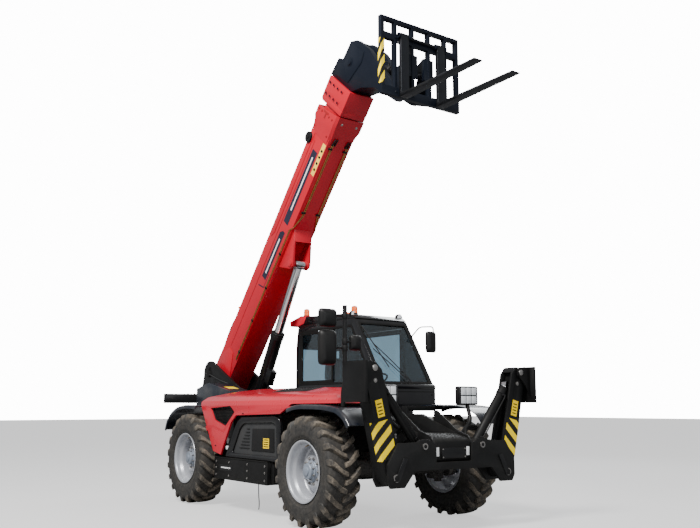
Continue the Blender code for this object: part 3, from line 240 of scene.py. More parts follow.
def drum(name: str, start: Sequence[float], end: Sequence[float], radius: float, sides: int = 32, bevel: float = 0.002,
    end_radius: float | None = None) -> Piece:
    """Makes a round bar between two points, its rims rounded.

    Args:
        name: Name of the piece.
        start: Middle of the first end.
        end: Middle of the second end.
        radius: Radius at the first end.
        sides: Sides of the circle.
        bevel: Width of the rim's rounding, or 0.
        end_radius: Radius at the second end, where it differs.

    Returns:
        The bar.
    """
    deselect()
    first, second = Vector(start), Vector(end)
    along = second - first
    turn = Vector((0, 0, 1)).rotation_difference(along.normalized()).to_euler()
    bpy.ops.mesh.primitive_cone_add(vertices=sides, radius1=radius, radius2=radius if end_radius is None else
        end_radius, depth=along.length, location=(first + second) / 2, rotation=turn)
    piece = added(name)
    settle(piece)
    if bevel:
        rounded(piece, min(bevel, radius * 0.4, along.length * 0.4), 2, 50.0)
    return smoothed(piece, 50.0)


def in_plane(axis: Axis, point: Flat, depth: float) -> Vector:
    """Puts a flat point into space.

    Args:
        axis: Axis that the plane is square to. X takes (y, z), Y takes (x, z) and Z takes (x, y).
        point: The flat point.
        depth: Place along the axis.

    Returns:
        The point in space.
    """
    first, second = point
    return {Axis.X: Vector((depth, first, second)), Axis.Y: Vector((first, depth, second)), Axis.Z: Vector((first,
        second, depth)),}[axis]


def ring_start(name: str, ring: Route, filled: bool) -> Piece:
    """Adds a circle with as many corners as a ring and sets each in its place."""
    deselect()
    bpy.ops.mesh.primitive_circle_add(vertices=len(ring), radius=1.0, fill_type="NGON" if filled else "NOTHING")
    piece = added(name)
    for corner, place in zip(piece.data.vertices, ring):
        corner.co = Vector(place)
    return piece


def plate(name: str, axis: Axis, outline: Sequence[Flat], low: float, high: float, bevel: float = 0.003, segments:
    int = 2, angle: float = 35.0) -> Piece:
    """Makes a plate by pushing an outline along an axis.

    Args:
        name: Name of the piece.
        axis: Axis that the outline is pushed along.
        outline: The outline's corners in order.
        low: Where the plate starts along the axis.
        high: Where it ends.
        bevel: Width of the rounding, or 0.
        segments: Steps across the rounding.
        angle: Sharpness from which an edge is rounded, in degrees.

    Returns:
        The plate.
    """
    piece = ring_start(name, [in_plane(axis, point, low) for point in outline], True)
    edit(piece)
    select_all()
    push = in_plane(axis, (0.0, 0.0), high - low)
    bpy.ops.mesh.extrude_region_move(TRANSFORM_OT_translate={"value": tuple(push)})
    close_outward()
    if bevel:
        return rounded(piece, bevel, segments, angle)
    return smoothed(piece, angle)


def loft(name: str, rings: Sequence[Route], angle: float = 35.0, capped: bool = True) -> Piece:
    """Makes a skin by extruding one closed ring to the next.

    Args:
        name: Name of the piece.
        rings: Closed rings with the same number of corners.
        angle: Angle above which an edge stays sharp, in degrees.
        capped: Whether the ends are closed.

    Returns:
        The skin.
    """
    piece = ring_start(name, rings[0], capped)
    edit(piece)
    if not capped:
        bpy.ops.mesh.select_mode(type="EDGE")
    select_all()
    previous = rings[0]
    for ring in rings[1:]:
        if capped:
            bpy.ops.mesh.extrude_region_move()
        else:
            bpy.ops.mesh.extrude_edges_move()
        shape = bmesh.from_edit_mesh(piece.data)
        places = {tuple(round(c, 5) for c in old): Vector(new) for old, new in zip(previous, ring)}
        for corner in shape.verts:
            if corner.select:
                corner.co = places[tuple(round(c, 5) for c in corner.co)]
        bmesh.update_edit_mesh(piece.data)
        previous = ring
    close_outward()
    return smoothed(piece, angle)


def turned(name: str, profile: Sequence[Flat], centre: Sequence[float], axis: Axis = Axis.X, side: float = 1.0, steps:
    int = 64, angle: float = 30.0, part: float = 360.0) -> Piece:
    """Spins a profile into a round piece.

    Args:
        name: Name of the piece.
        profile: Points of (place along the axis, radius), as an open or closed line.
        centre: Point on the axis from which places are measured.
        axis: Axis of the spin.
        side: Sign of the axis.
        steps: Steps round the circle.
        angle: Angle above which an edge stays sharp, in degrees.
        part: How much of a turn is made, in degrees.

    Returns:
        The round piece.
    """
    middle = Vector(centre)
    along = in_plane(axis, (0.0, 0.0), side)
    out = Vector((0.0, 0.0, 1.0)) if axis is not Axis.Z else Vector((0.0, 1.0, 0.0))
    places = [middle + along * place + out * radius for place, radius in profile]
    deselect()
    bpy.ops.mesh.primitive_plane_add(size=1.0)
    piece = added(name)
    edit(piece)
    select_all()
    bpy.ops.mesh.delete(type="VERT")
    shape = bmesh.from_edit_mesh(piece.data)
    corners = [shape.verts.new(place) for place in places]
    for first, second in zip(corners, corners[1:]):
        shape.edges.new((first, second))
    bmesh.update_edit_mesh(piece.data)
    select_all()
    bpy.ops.mesh.spin(steps=steps, angle=math.radians(part), center=middle, axis=tuple(along), use_auto_merge=False)
    select_all()
    bpy.ops.mesh.remove_doubles(threshold=0.00005)
    bpy.ops.mesh.normals_make_consistent(inside=False)
    close_edit()
    return smoothed(piece, angle)


def smooth_path(points: Route, steps: int = 6) -> list[Vector]:
    """Returns a smooth route through the given points.

    Args:
        points: Points that the route passes.
        steps: Steps between each pair of points.

    Returns:
        The route's points.
    """
    given = [Vector(p) for p in points]
    ends = [given[0] * 2 - given[1], *given, given[-1] * 2 - given[-2]]
    route = []
    for index in range(len(given) - 1):
        a, b, c, d = ends[index:index + 4]
        for step in range(steps):
            t = step / steps
            route.append(0.5 * (2 * b + (c - a) * t + (2 * a - 5 * b + 4 * c - d) * t * t + (3 * b - a - 3 * c + d) *
                t * t * t))
    return [*route, given[-1]]


def tube(name: str, points: Route, radius: float, smooth: int = 0, sides: int = 3) -> Piece:
    """Makes a round tube along a route, closed at both ends.

    Args:
        name: Name of the piece.
        points: The route.
        radius: Radius of the tube.
        smooth: Steps between points where the route is rounded off, or 0.
        sides: Steps in a quarter of the tube's circle.

    Returns:
        The tube as a mesh.
    """
    route = smooth_path(points, smooth) if smooth else [Vector(p) for p in points]
    line = bpy.data.curves.new(name, "CURVE")
    line.dimensions = "3D"
    line.bevel_depth = radius
    line.bevel_resolution = sides
    line.use_fill_caps = True
    run = line.splines.new("POLY")
    run.points.add(len(route) - 1)
    for corner, place in zip(run.points, route):
        corner.co = (*place, 1.0)
    piece = bpy.data.objects.new(name, line)
    shown(piece)
    take(piece)
    bpy.ops.object.convert(target="MESH")
    piece = bpy.context.object
    outward(piece)
    return smoothed(piece, 50.0)


def fillet_path(points: Route, radius: float, steps: int = 5) -> list[Vector]:
    """Returns a route of straight runs whose corners are bent to a radius.

    Args:
        points: Corners of the route.
        radius: Distance from a corner at which the bend starts.
        steps: Steps in each bend.

    Returns:
        The route's points.
    """
    given = [Vector(p) for p in points]
    route = [given[0]]
    for before, corner, after in zip(given, given[1:], given[2:]):
        reach = min(radius, (corner - before).length * 0.45, (after - corner).length * 0.45)
        first = corner + (before - corner).normalized() * reach
        last = corner + (after - corner).normalized() * reach
        for step in range(steps + 1):
            t = step / steps
            route.append(first * (1 - t) ** 2 + corner * 2 * t * (1 - t) + last * t * t)
    return [*route, given[-1]]


def copied(piece: Piece, name: str, move: Matrix) -> Piece:
    """Copies a piece with its own mesh, moved by a matrix."""
    twin = piece.copy()
    twin.data = piece.data.copy()
    twin.name = name
    twin.data.transform(move)
    if move.determinant() < 0:
        twin.data.flip_normals()
    shown(twin)
    return twin


def joined(name: str, pieces: Iterable[Piece]) -> Piece:
    """Joins several pieces into one.

    Args:
        name: Name of the result.
        pieces: The pieces, the first of which takes in the others.

    Returns:
        The joined piece.
    """
    parts = list(pieces)
    take(parts[0])
    for part in parts[1:]:
        part.select_set(True)
    if len(parts) > 1:
        bpy.ops.object.join()
    whole = bpy.context.object
    whole.name = name
    whole.data.name = name
    return whole


def repeated(name: str, template: Piece, moves: Sequence[Matrix]) -> Piece:
    """Copies a template to each place and joins the copies. The template is used up."""
    copies = [copied(template, f"{name}_{index}", move) for index, move in enumerate(moves)]
    bpy.data.objects.remove(template)
    return joined(name, copies)


def carved(piece: Piece, *tools: Piece) -> Piece:
    """Cuts tools out of a piece and removes them."""
    for tool in tools:
        apply_modifier(piece, "BOOLEAN", operation="DIFFERENCE", solver="EXACT", object=tool)
        bpy.data.objects.remove(tool)
    return piece


def refined(node: str, name: str, bevel: float = 0.004, segments: int = 2, angle: float = 32.0) -> Piece:
    """Makes the finished form of a CAD node: merged, cleaned and with rounded edges.

    Args:
        node: The CAD node it stands for.
        name: Name of the piece.
        bevel: Width of the rounding, or 0.
        segments: Steps across the rounding.
        angle: Sharpness from which an edge is rounded, in degrees.

    Returns:
        The finished piece.
    """
    source = frame["nodes"][node]
    piece = bpy.data.objects.new(name, source.data.copy())
    piece.data.materials.clear()
    shown(piece)
    edit(piece)
    select_all()
    bpy.ops.mesh.remove_doubles(threshold=0.00002)
    bpy.ops.mesh.tris_convert_to_quads(face_threshold=math.radians(1.0), shape_threshold=math.radians(180.0))
    close_outward()
    if bevel:
        rounded(piece, bevel, segments, angle)
    else:
        smoothed(piece, angle)
    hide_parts(node)
    return piece


def bolt(name: str, head: float = 0.012, height: float = 0.008) -> Piece:
    """Makes a hexagon bolt head on a washer, standing along +Z from the origin."""
    washer = drum(f"{name}_washer", (0, 0, -0.001), (0, 0, 0.0025), head * 1.35, 16, 0.0)
    hexagon = drum(name, (0, 0, 0.002), (0, 0, height), head, 6, head * 0.12)
    return joined(name, [hexagon, washer])


def facing(place: Sequence[float], direction: Sequence[float], spin: float = 0.0) -> Matrix:
    """Returns the matrix that stands a +Z piece at a place along a direction."""
    return Matrix.Translation(Vector(place)) @ standing(direction) @ Matrix.Rotation(spin, 4, "Z")


def bolts(name: str, places: Route, direction: Sequence[float], head: float = 0.012) -> Piece:
    """Sets one bolt at each place, all facing one way."""
    chance = random.Random(f"{SEED}{name}")
    moves = [facing(place, direction, chance.uniform(0, math.pi)) for place in places]
    return repeated(name, bolt(f"{name}_one", head), moves)


@dataclass
class Assembly:
    """A sub-assembly, which dresses its pieces and sets them on their bodies."""

    pieces: list[str] = field(default_factory=list, init=False)
    home: str = field(default="chassis", init=False)

    def fit(self, piece: Piece, finish: "Finish", body: str | None = None, slot: str | None = None) -> Piece:
        """Gives a piece its finish and sets it on a body.

        Args:
            piece: The piece.
            finish: Its finish.
            body: The CAD body that carries it, where it isn't the home body.
            slot: Not used.

        Returns:
            The same piece.
        """
        if bpy.context.object is not None and bpy.context.object.mode != "OBJECT":
            close_edit()
        piece.data.materials.clear()
        piece.data.materials.append(finish.material())
        for face in piece.data.polygons:
            face.material_index = 0
        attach(piece, body or self.home)
        self.pieces.append(piece.name)
        return piece

    def fuse(self, name: str, parts: Iterable[Piece], finish: "Finish", body: str | None = None) -> Piece:
        """Joins parts into one piece and fits it."""
        return self.fit(joined(name, parts), finish, body)

    def report(self) -> None:
        """Logs what the sub-assembly holds."""
        LOG.info("%s: %d pieces: %s", type(self).__name__, len(self.pieces), ", ".join(self.pieces))


# ---- Finishes ------------------------------------------------------------------------


class Nodes:
    """A material's node tree, with short calls to add to it."""

    def __init__(self, name: str) -> None:
        """Starts an empty material with its surface shader and output."""
        self.material = bpy.data.materials.new(name)
        self.material.use_nodes = True
        self.tree = self.material.node_tree
        self.tree.nodes.clear()
        self.surface = self.add("BsdfPrincipled")
        self.output = self.add("OutputMaterial")
        self.link(self.surface.outputs[0], self.output.inputs[0])

    def add(self, kind: str, values: dict[str, object] | None = None) -> bpy.types.Node:
        """Adds a node and sets some of its inputs."""
        node = self.tree.nodes.new(f"ShaderNode{kind}")
        for name, value in (values or {}).items():
            node.inputs[name].default_value = value
        return node

    def link(self, source: Socket, target: Socket) -> None:
        """Joins two sockets."""
        self.tree.links.new(source, target)

    def place(self, kind: str = "Object") -> Socket:
        """Returns a texture coordinate output."""
        return self.add("TexCoord").outputs[kind]

    def noise(self, scale: float, detail: float = 4.0, rough: float = 0.55, stretch: Point = (1.0, 1.0,
        1.0)) -> Socket:
        """Adds a noise pattern on Object coordinates.

        Args:
            scale: Size of the pattern; larger is finer.
            detail: Octaves.
            rough: How strong the fine octaves are.
            stretch: Scale along each axis.

        Returns:
            The pattern's value output.
        """
        texture = self.add("TexNoise", {"Scale": scale, "Detail": detail, "Roughness": rough})
        mapping = self.add("Mapping", {"Scale": stretch})
        self.link(self.place(), mapping.inputs[0])
        self.link(mapping.outputs[0], texture.inputs["Vector"])
        return texture.outputs[0]

    def ramp(self, value: Socket, low: float, high: float, start: float = 0.0, end: float = 1.0) -> Socket:
        """Maps a value from one range to another, held at the ends."""
        node = self.add("MapRange", {"From Min": low, "From Max": high, "To Min": start, "To Max": end})
        self.link(value, node.inputs["Value"])
        return node.outputs[0]

    def math(self, operation: str, first: Socket | float, second: Socket | float = 0.0) -> Socket:
        """Adds a sum of two values or sockets."""
        node = self.add("Math")
        node.operation = operation
        for socket, value in zip(node.inputs, (first, second)):
            if isinstance(value, (int, float)):
                socket.default_value = value
            else:
                self.link(value, socket)
        return node.outputs[0]

    def mix(self, share: Socket, first: object, second: object) -> Socket:
        """Mixes two colours, each a socket or three numbers.

        Args:
            share: How much of the second colour shows.
            first: The first colour.
            second: The second colour.

        Returns:
            The mixed colour.
        """
        node = self.add("Mix")
        node.data_type = "RGBA"
        self.link(share, node.inputs[0])
        for socket, value in ((node.inputs[6], first), (node.inputs[7], second)):
            if isinstance(value, Socket):
                self.link(value, socket)
            else:
                socket.default_value = (*value, 1.0)
        return node.outputs[2]

    def part(self, axis: Axis, kind: str = "Object") -> Socket:
        """Returns one coordinate of a place, or of the surface's normal."""
        split = self.add("SeparateXYZ")
        if kind == "Normal":
            self.link(self.add("NewGeometry").outputs["Normal"], split.inputs[0])
        else:
            self.link(self.place(kind), split.inputs[0])
        return split.outputs[axis.value]

    def bump(self, height: Socket, strength: float, distance: float) -> None:
        """Raises the surface by a pattern.

        Args:
            height: The pattern.
            strength: How strong it shows.
            distance: Height of the pattern, in metres.
        """
        node = self.add("Bump", {"Strength": strength, "Distance": distance})
        self.link(height, node.inputs["Height"])
        self.link(node.outputs[0], self.surface.inputs["Normal"])

    def setup(self, **values: object) -> None:
        """Sets several inputs, each named with underscores for spaces."""
        for name, value in values.items():
            self.set(name.replace("_", " "), value)

    def set(self, name: str, value: object) -> None:
        """Sets or links one input of the surface shader."""
        socket = self.surface.inputs[name]
        if isinstance(value, Socket):
            self.link(value, socket)
        elif isinstance(value, tuple) and len(value) == 3:
            socket.default_value = (*value, 1.0)
        else:
            socket.default_value = value


MADE: dict[str, bpy.types.Material] = {}


@dataclass(frozen=True)
class Finish:
    """A named surface finish. Subclasses say how it is built."""

    name: str
    colour: Point = (0.5, 0.5, 0.5)
    roughness: float = 0.5

    def material(self) -> bpy.types.Material:
        """Returns the finish's material, made on first use."""
        if self.name not in MADE:
            nodes = Nodes(self.name)
            self.build(nodes)
            MADE[self.name] = nodes.material
        return MADE[self.name]

    def build(self, nodes: Nodes) -> None:
        """Sets up the shader."""
        nodes.setup(Base_Color=self.colour, Roughness=self.roughness)


@dataclass(frozen=True)
class Paint(Finish):
    """Sprayed paint with a fine texture, uneven tone and a film of dust."""

    coat: float = 0.3
    peel: float = 0.12
    dust: float = 0.25
    dust_colour: Point = (0.36, 0.31, 0.25)
    metallic: float = 0.0
    shine: float = 0.5
    faded: Point | None = None

    def build(self, nodes: Nodes) -> None:
        """Sets up the shader."""
        cloud = nodes.noise(1.7, 5.0, 0.6)
        fine = nodes.noise(26.0, 6.0, 0.7)
        tone = self.faded or tuple(min(1.0, c * 1.28 + 0.004) for c in self.colour)
        colour = nodes.mix(nodes.ramp(cloud, 0.35, 0.7, 0.0, 0.8), self.colour, tone)
        upward = nodes.ramp(nodes.part(Axis.Z, "Normal"), 0.1, 1.0, 0.12, 1.0)
        low_down = nodes.ramp(nodes.part(Axis.Z), 0.2, 1.5, 1.0, 0.35)
        specks = nodes.ramp(fine, 0.42, 0.78)
        dusty = nodes.math("MULTIPLY", nodes.math("MULTIPLY", upward, low_down), specks)
        nodes.set("Base Color", nodes.mix(nodes.math("MULTIPLY", dusty, self.dust), colour, self.dust_colour))
        rough = nodes.ramp(nodes.noise(6.0, 5.0), 0.3, 0.75, self.roughness * 0.85, min(1.0, self.roughness * 1.25))
        nodes.setup(Roughness=nodes.math("ADD", rough, nodes.math("MULTIPLY", dusty, 0.3)), Metallic=self.metallic,
            Specular_IOR_Level=self.shine, Coat_Weight=self.coat, Coat_Roughness=0.08)
        nodes.bump(nodes.noise(420.0, 2.0), self.peel, 0.0006)


@dataclass(frozen=True)
class Steel(Finish):
    """Bare or plated metal with fine marks along one direction."""

    stretch: Point = (60.0, 60.0, 4.0)
    marks: float = 0.15
    stain: Point = (0.3, 0.28, 0.26)

    def build(self, nodes: Nodes) -> None:
        """Sets up the shader."""
        streak = nodes.noise(3.0, 6.0, 0.7, self.stretch)
        patch = nodes.ramp(nodes.noise(9.0, 5.0), 0.5, 0.8, 0.0, 0.5)
        nodes.setup(Base_Color=nodes.mix(patch, self.colour, self.stain), Metallic=1.0, Roughness=nodes.ramp(streak,
            0.3, 0.8, self.roughness * 0.7, self.roughness * 1.6))
        nodes.bump(streak, self.marks, 0.0003)


@dataclass(frozen=True)
class Plastic(Finish):
    """Moulded plastic with a fine grain."""

    grain: float = 500.0
    relief: float = 0.25
    coat: float = 0.0
    dust: float = 0.15

    def build(self, nodes: Nodes) -> None:
        """Sets up the shader."""
        cloud = nodes.ramp(nodes.noise(4.0, 5.0), 0.4, 0.75, 0.0, self.dust)
        upward = nodes.ramp(nodes.part(Axis.Z, "Normal"), 0.0, 1.0, 0.25, 1.0)
        nodes.set("Base Color", nodes.mix(nodes.math("MULTIPLY", cloud, upward), self.colour, (0.3, 0.27, 0.23)))
        nodes.set("Roughness", nodes.ramp(nodes.noise(11.0, 5.0), 0.3, 0.75, self.roughness * 0.85, min(1.0,
            self.roughness * 1.2)))
        nodes.setup(Specular_IOR_Level=0.22, Coat_Weight=self.coat, Coat_Roughness=0.06)
        nodes.bump(nodes.noise(self.grain, 2.0), self.relief, 0.0004)


@dataclass(frozen=True)
class TyreRubber(Finish):
    """Tyre rubber, dark on its walls and dusty on its tread bars."""

    soil: Point = (0.23, 0.19, 0.145)

    def build(self, nodes: Nodes) -> None:
        """Sets up the shader from the tread attribute, which is 1 on a bar's top."""
        tread = nodes.add("Attribute")
        tread.attribute_name = "tread"
        patches = nodes.ramp(nodes.noise(9.0, 7.0, 0.65), 0.36, 0.62)
        fine = nodes.ramp(nodes.noise(60.0, 4.0, 0.7), 0.35, 0.7)
        walls = nodes.mix(nodes.ramp(nodes.noise(22.0, 6.0, 0.7), 0.45, 0.75, 0.0, 0.35), self.colour, (0.09, 0.083,
            0.075))
        share = nodes.math("MULTIPLY", nodes.math("MULTIPLY", tread.outputs["Fac"], patches), nodes.math("ADD",
            nodes.math("MULTIPLY", fine, 0.6), 0.35))
        nodes.setup(Base_Color=nodes.mix(share, walls, self.soil), Roughness=nodes.ramp(patches, 0.0, 1.0,
            self.roughness * 0.8, 0.95))
        nodes.bump(nodes.noise(140.0, 5.0, 0.7), 0.35, 0.0015)


@dataclass(frozen=True)
class CabGlass(Finish):
    """Tinted safety glass with a thin film of dust."""

    def build(self, nodes: Nodes) -> None:
        """Sets up the shader."""
        film = nodes.ramp(nodes.noise(7.0, 5.0), 0.45, 0.85, 0.0, 0.12)
        nodes.setup(Base_Color=nodes.mix(film, self.colour, (0.75, 0.8, 0.85)), Roughness=nodes.ramp(film, 0.0, 0.12,
            0.015, 0.09), Transmission_Weight=1.0, IOR=1.45)


@dataclass(frozen=True)
class Weave(Finish):
    """Woven cloth in two tones of thread."""

    thread: Point = (0.06, 0.06, 0.065)

    def build(self, nodes: Nodes) -> None:
        """Sets up the shader."""
        waves = []
        for direction in ("X", "Y"):
            wave = nodes.add("TexWave")
            wave.bands_direction = direction
            wave.inputs["Scale"].default_value = 160.0
            wave.inputs["Distortion"].default_value = 0.6
            nodes.link(nodes.place(), wave.inputs[0])
            waves.append(wave.outputs["Fac"])
        weave = nodes.math("MULTIPLY", waves[0], waves[1])
        nodes.setup(Base_Color=nodes.mix(nodes.math("MULTIPLY", weave, 0.9), self.colour, self.thread),
            Roughness=self.roughness, Sheen_Weight=0.25)
        nodes.bump(weave, 0.4, 0.0006)


@dataclass(frozen=True)
class Lens(Finish):
    """Clear or coloured lamp lens that glows faintly."""

    glow: float = 0.0

    def build(self, nodes: Nodes) -> None:
        """Sets up the shader."""
        ribs = nodes.add("TexWave")
        ribs.inputs["Scale"].default_value = 90.0
        nodes.link(nodes.place(), ribs.inputs[0])
        nodes.set("Base Color", nodes.mix(nodes.ramp(nodes.noise(30.0), 0.4, 0.8, 0.0, 0.25), self.colour, tuple(c *
            0.7 for c in self.colour)))
        nodes.setup(Roughness=self.roughness, Transmission_Weight=0.25, Coat_Weight=0.8, Emission_Color=self.colour,
            Emission_Strength=self.glow)
        nodes.bump(ribs.outputs["Fac"], 0.15, 0.001)


@dataclass(frozen=True)
class Stripes(Finish):
    """Slanted warning bands in two colours."""

    second: Point = (0.012, 0.012, 0.012)
    along: Point = (0.0, 6.0, 6.0)
    shift: float = 0.0

    def build(self, nodes: Nodes) -> None:
        """Sets up the shader."""
        dot = nodes.add("VectorMath")
        dot.operation = "DOT_PRODUCT"
        nodes.link(nodes.place(), dot.inputs[0])
        dot.inputs[1].default_value = self.along
        turn = nodes.math("FRACT", nodes.math("ADD", dot.outputs["Value"], self.shift + 100.0))
        band = nodes.ramp(turn, 0.495, 0.505)
        worn = nodes.ramp(nodes.noise(35.0, 6.0, 0.7), 0.62, 0.75, 0.0, 0.5)
        colour = nodes.mix(band, self.colour, self.second)
        nodes.setup(Base_Color=nodes.mix(worn, colour, (0.2, 0.19, 0.17)), Roughness=self.roughness,
            Specular_IOR_Level=0.15)


RED = Paint("boom_red", (0.44, 0.0035, 0.016), 0.36, coat=0.15, dust=0.02, shine=0.3, faded=(0.48, 0.005, 0.019))
# A shaded copy of the boom red: painted shade, used on the boom's seams, port plugs, collar bolts and mouth slots.
RED_PAINTED_SHADE = Paint("boom_red_shaded", (0.25, 0.003, 0.006), 0.42, coat=0.1, dust=0.05, shine=0.3)
HOOD_RED = Paint("hood_red", (0.5, 0.006, 0.022), 0.28, coat=0.4, dust=0.05, peel=0.06, shine=0.4, faded=(0.55, 0.012,
    0.03))
BLACK = Paint("cab_black", (0.004, 0.0042, 0.005), 0.38, coat=0.12, dust=0.05, shine=0.2)
FRAME = Paint("frame_black", (0.004, 0.004, 0.0042), 0.5, coat=0.0, dust=0.07, shine=0.18)
LEG = Paint("stabiliser_black", (0.003, 0.003, 0.0032), 0.5, coat=0.0, dust=0.04, shine=0.18)
NAVY = Paint("head_navy", (0.0018, 0.0036, 0.0085), 0.4, coat=0.03, dust=0.02, shine=0.14)
CAST = Paint("axle_casting", (0.022, 0.02, 0.019), 0.7, coat=0.0, dust=0.55, peel=0.5)
SILVER = Paint("rim_silver", (0.36, 0.375, 0.41), 0.34, coat=0.2, dust=0.15, metallic=0.35, faded=(0.46, 0.47, 0.5))
HUB = Paint("hub_grey", (0.2, 0.23, 0.28), 0.4, coat=0.2, dust=0.2, metallic=0.3)
FENDER = Plastic("fender_black", (0.006, 0.009, 0.016), 0.3, relief=0.05, coat=0.3, dust=0.2)
TRIM = Plastic("trim_black", (0.005, 0.005, 0.0055), 0.5, relief=0.3, dust=0.05)
GLOSS = Plastic("gloss_black", (0.004, 0.004, 0.005), 0.2, relief=0.03, coat=0.35, dust=0.04)
SEAL = Plastic("seal_rubber", (0.004, 0.004, 0.004), 0.65, relief=0.2, dust=0.02)
MESH_GREY = Plastic("mesh_grey", (0.03, 0.031, 0.033), 0.6, relief=0.1)
TYRE = TyreRubber("tyre_rubber", (0.01, 0.0098, 0.0098), 0.82)
CHROME = Steel("rod_chrome", (0.72, 0.72, 0.74), 0.12, marks=0.05, stain=(0.55, 0.52, 0.5))
ZINC = Steel("bolt_zinc", (0.32, 0.31, 0.3), 0.38)
BRASS = Steel("pipe_zinc_yellow", (0.42, 0.27, 0.09), 0.3, stretch=(4.0, 20.0, 20.0), stain=(0.28, 0.2, 0.1))
FORK = Steel("fork_steel", (0.035, 0.037, 0.042), 0.4, stretch=(20.0, 2.0, 20.0), stain=(0.02, 0.02, 0.02))
GLASS = CabGlass("cab_glass", (0.62, 0.8, 0.9), 0.02)
MIRROR = Steel("mirror_glass", (0.85, 0.87, 0.9), 0.03, marks=0.0, stain=(0.8, 0.82, 0.85))
CLOTH = Weave("seat_cloth", (0.018, 0.018, 0.02), 0.9)
# Also used on the tower reflector and the boom marker post, which are no lamps: there its glow is painted light.
AMBER = Lens("beacon_amber", (0.95, 0.16, 0.015), 0.15, glow=0.25)
CLEAR = Lens("lamp_clear", (0.85, 0.88, 0.92), 0.08, glow=0.15)
TAIL = Lens("lamp_red", (0.5, 0.01, 0.01), 0.15, glow=0.05)
WHITE = Paint("plate_white", (0.78, 0.79, 0.8), 0.4, coat=0.2, dust=0.15)
YELLOW = Paint("label_yellow", (0.92, 0.58, 0.0), 0.5, coat=0.0, dust=0.02, shine=0.2)
CREAM = Paint("label_cream", (0.8, 0.5, 0.06), 0.45, coat=0.0, dust=0.03, shine=0.2)
SLATE = Paint("boom_stripe", (0.012, 0.011, 0.026), 0.35, coat=0.1, dust=0.02, shine=0.2)
WARNING_RIGHT = Stripes("warning_right", (1.0, 0.72, 0.0), 0.45, along=(-5.6, 5.6, 5.6))
WARNING_LEFT = Stripes("warning_left", (1.0, 0.72, 0.0), 0.45, along=(5.6, 5.6, 5.6))
WARNING_CARRIAGE = Stripes("warning_carriage", (1.0, 0.72, 0.0), 0.45, along=(-8.0, 8.0, 5.0))


# ---- Wheels --------------------------------------------------------------------------


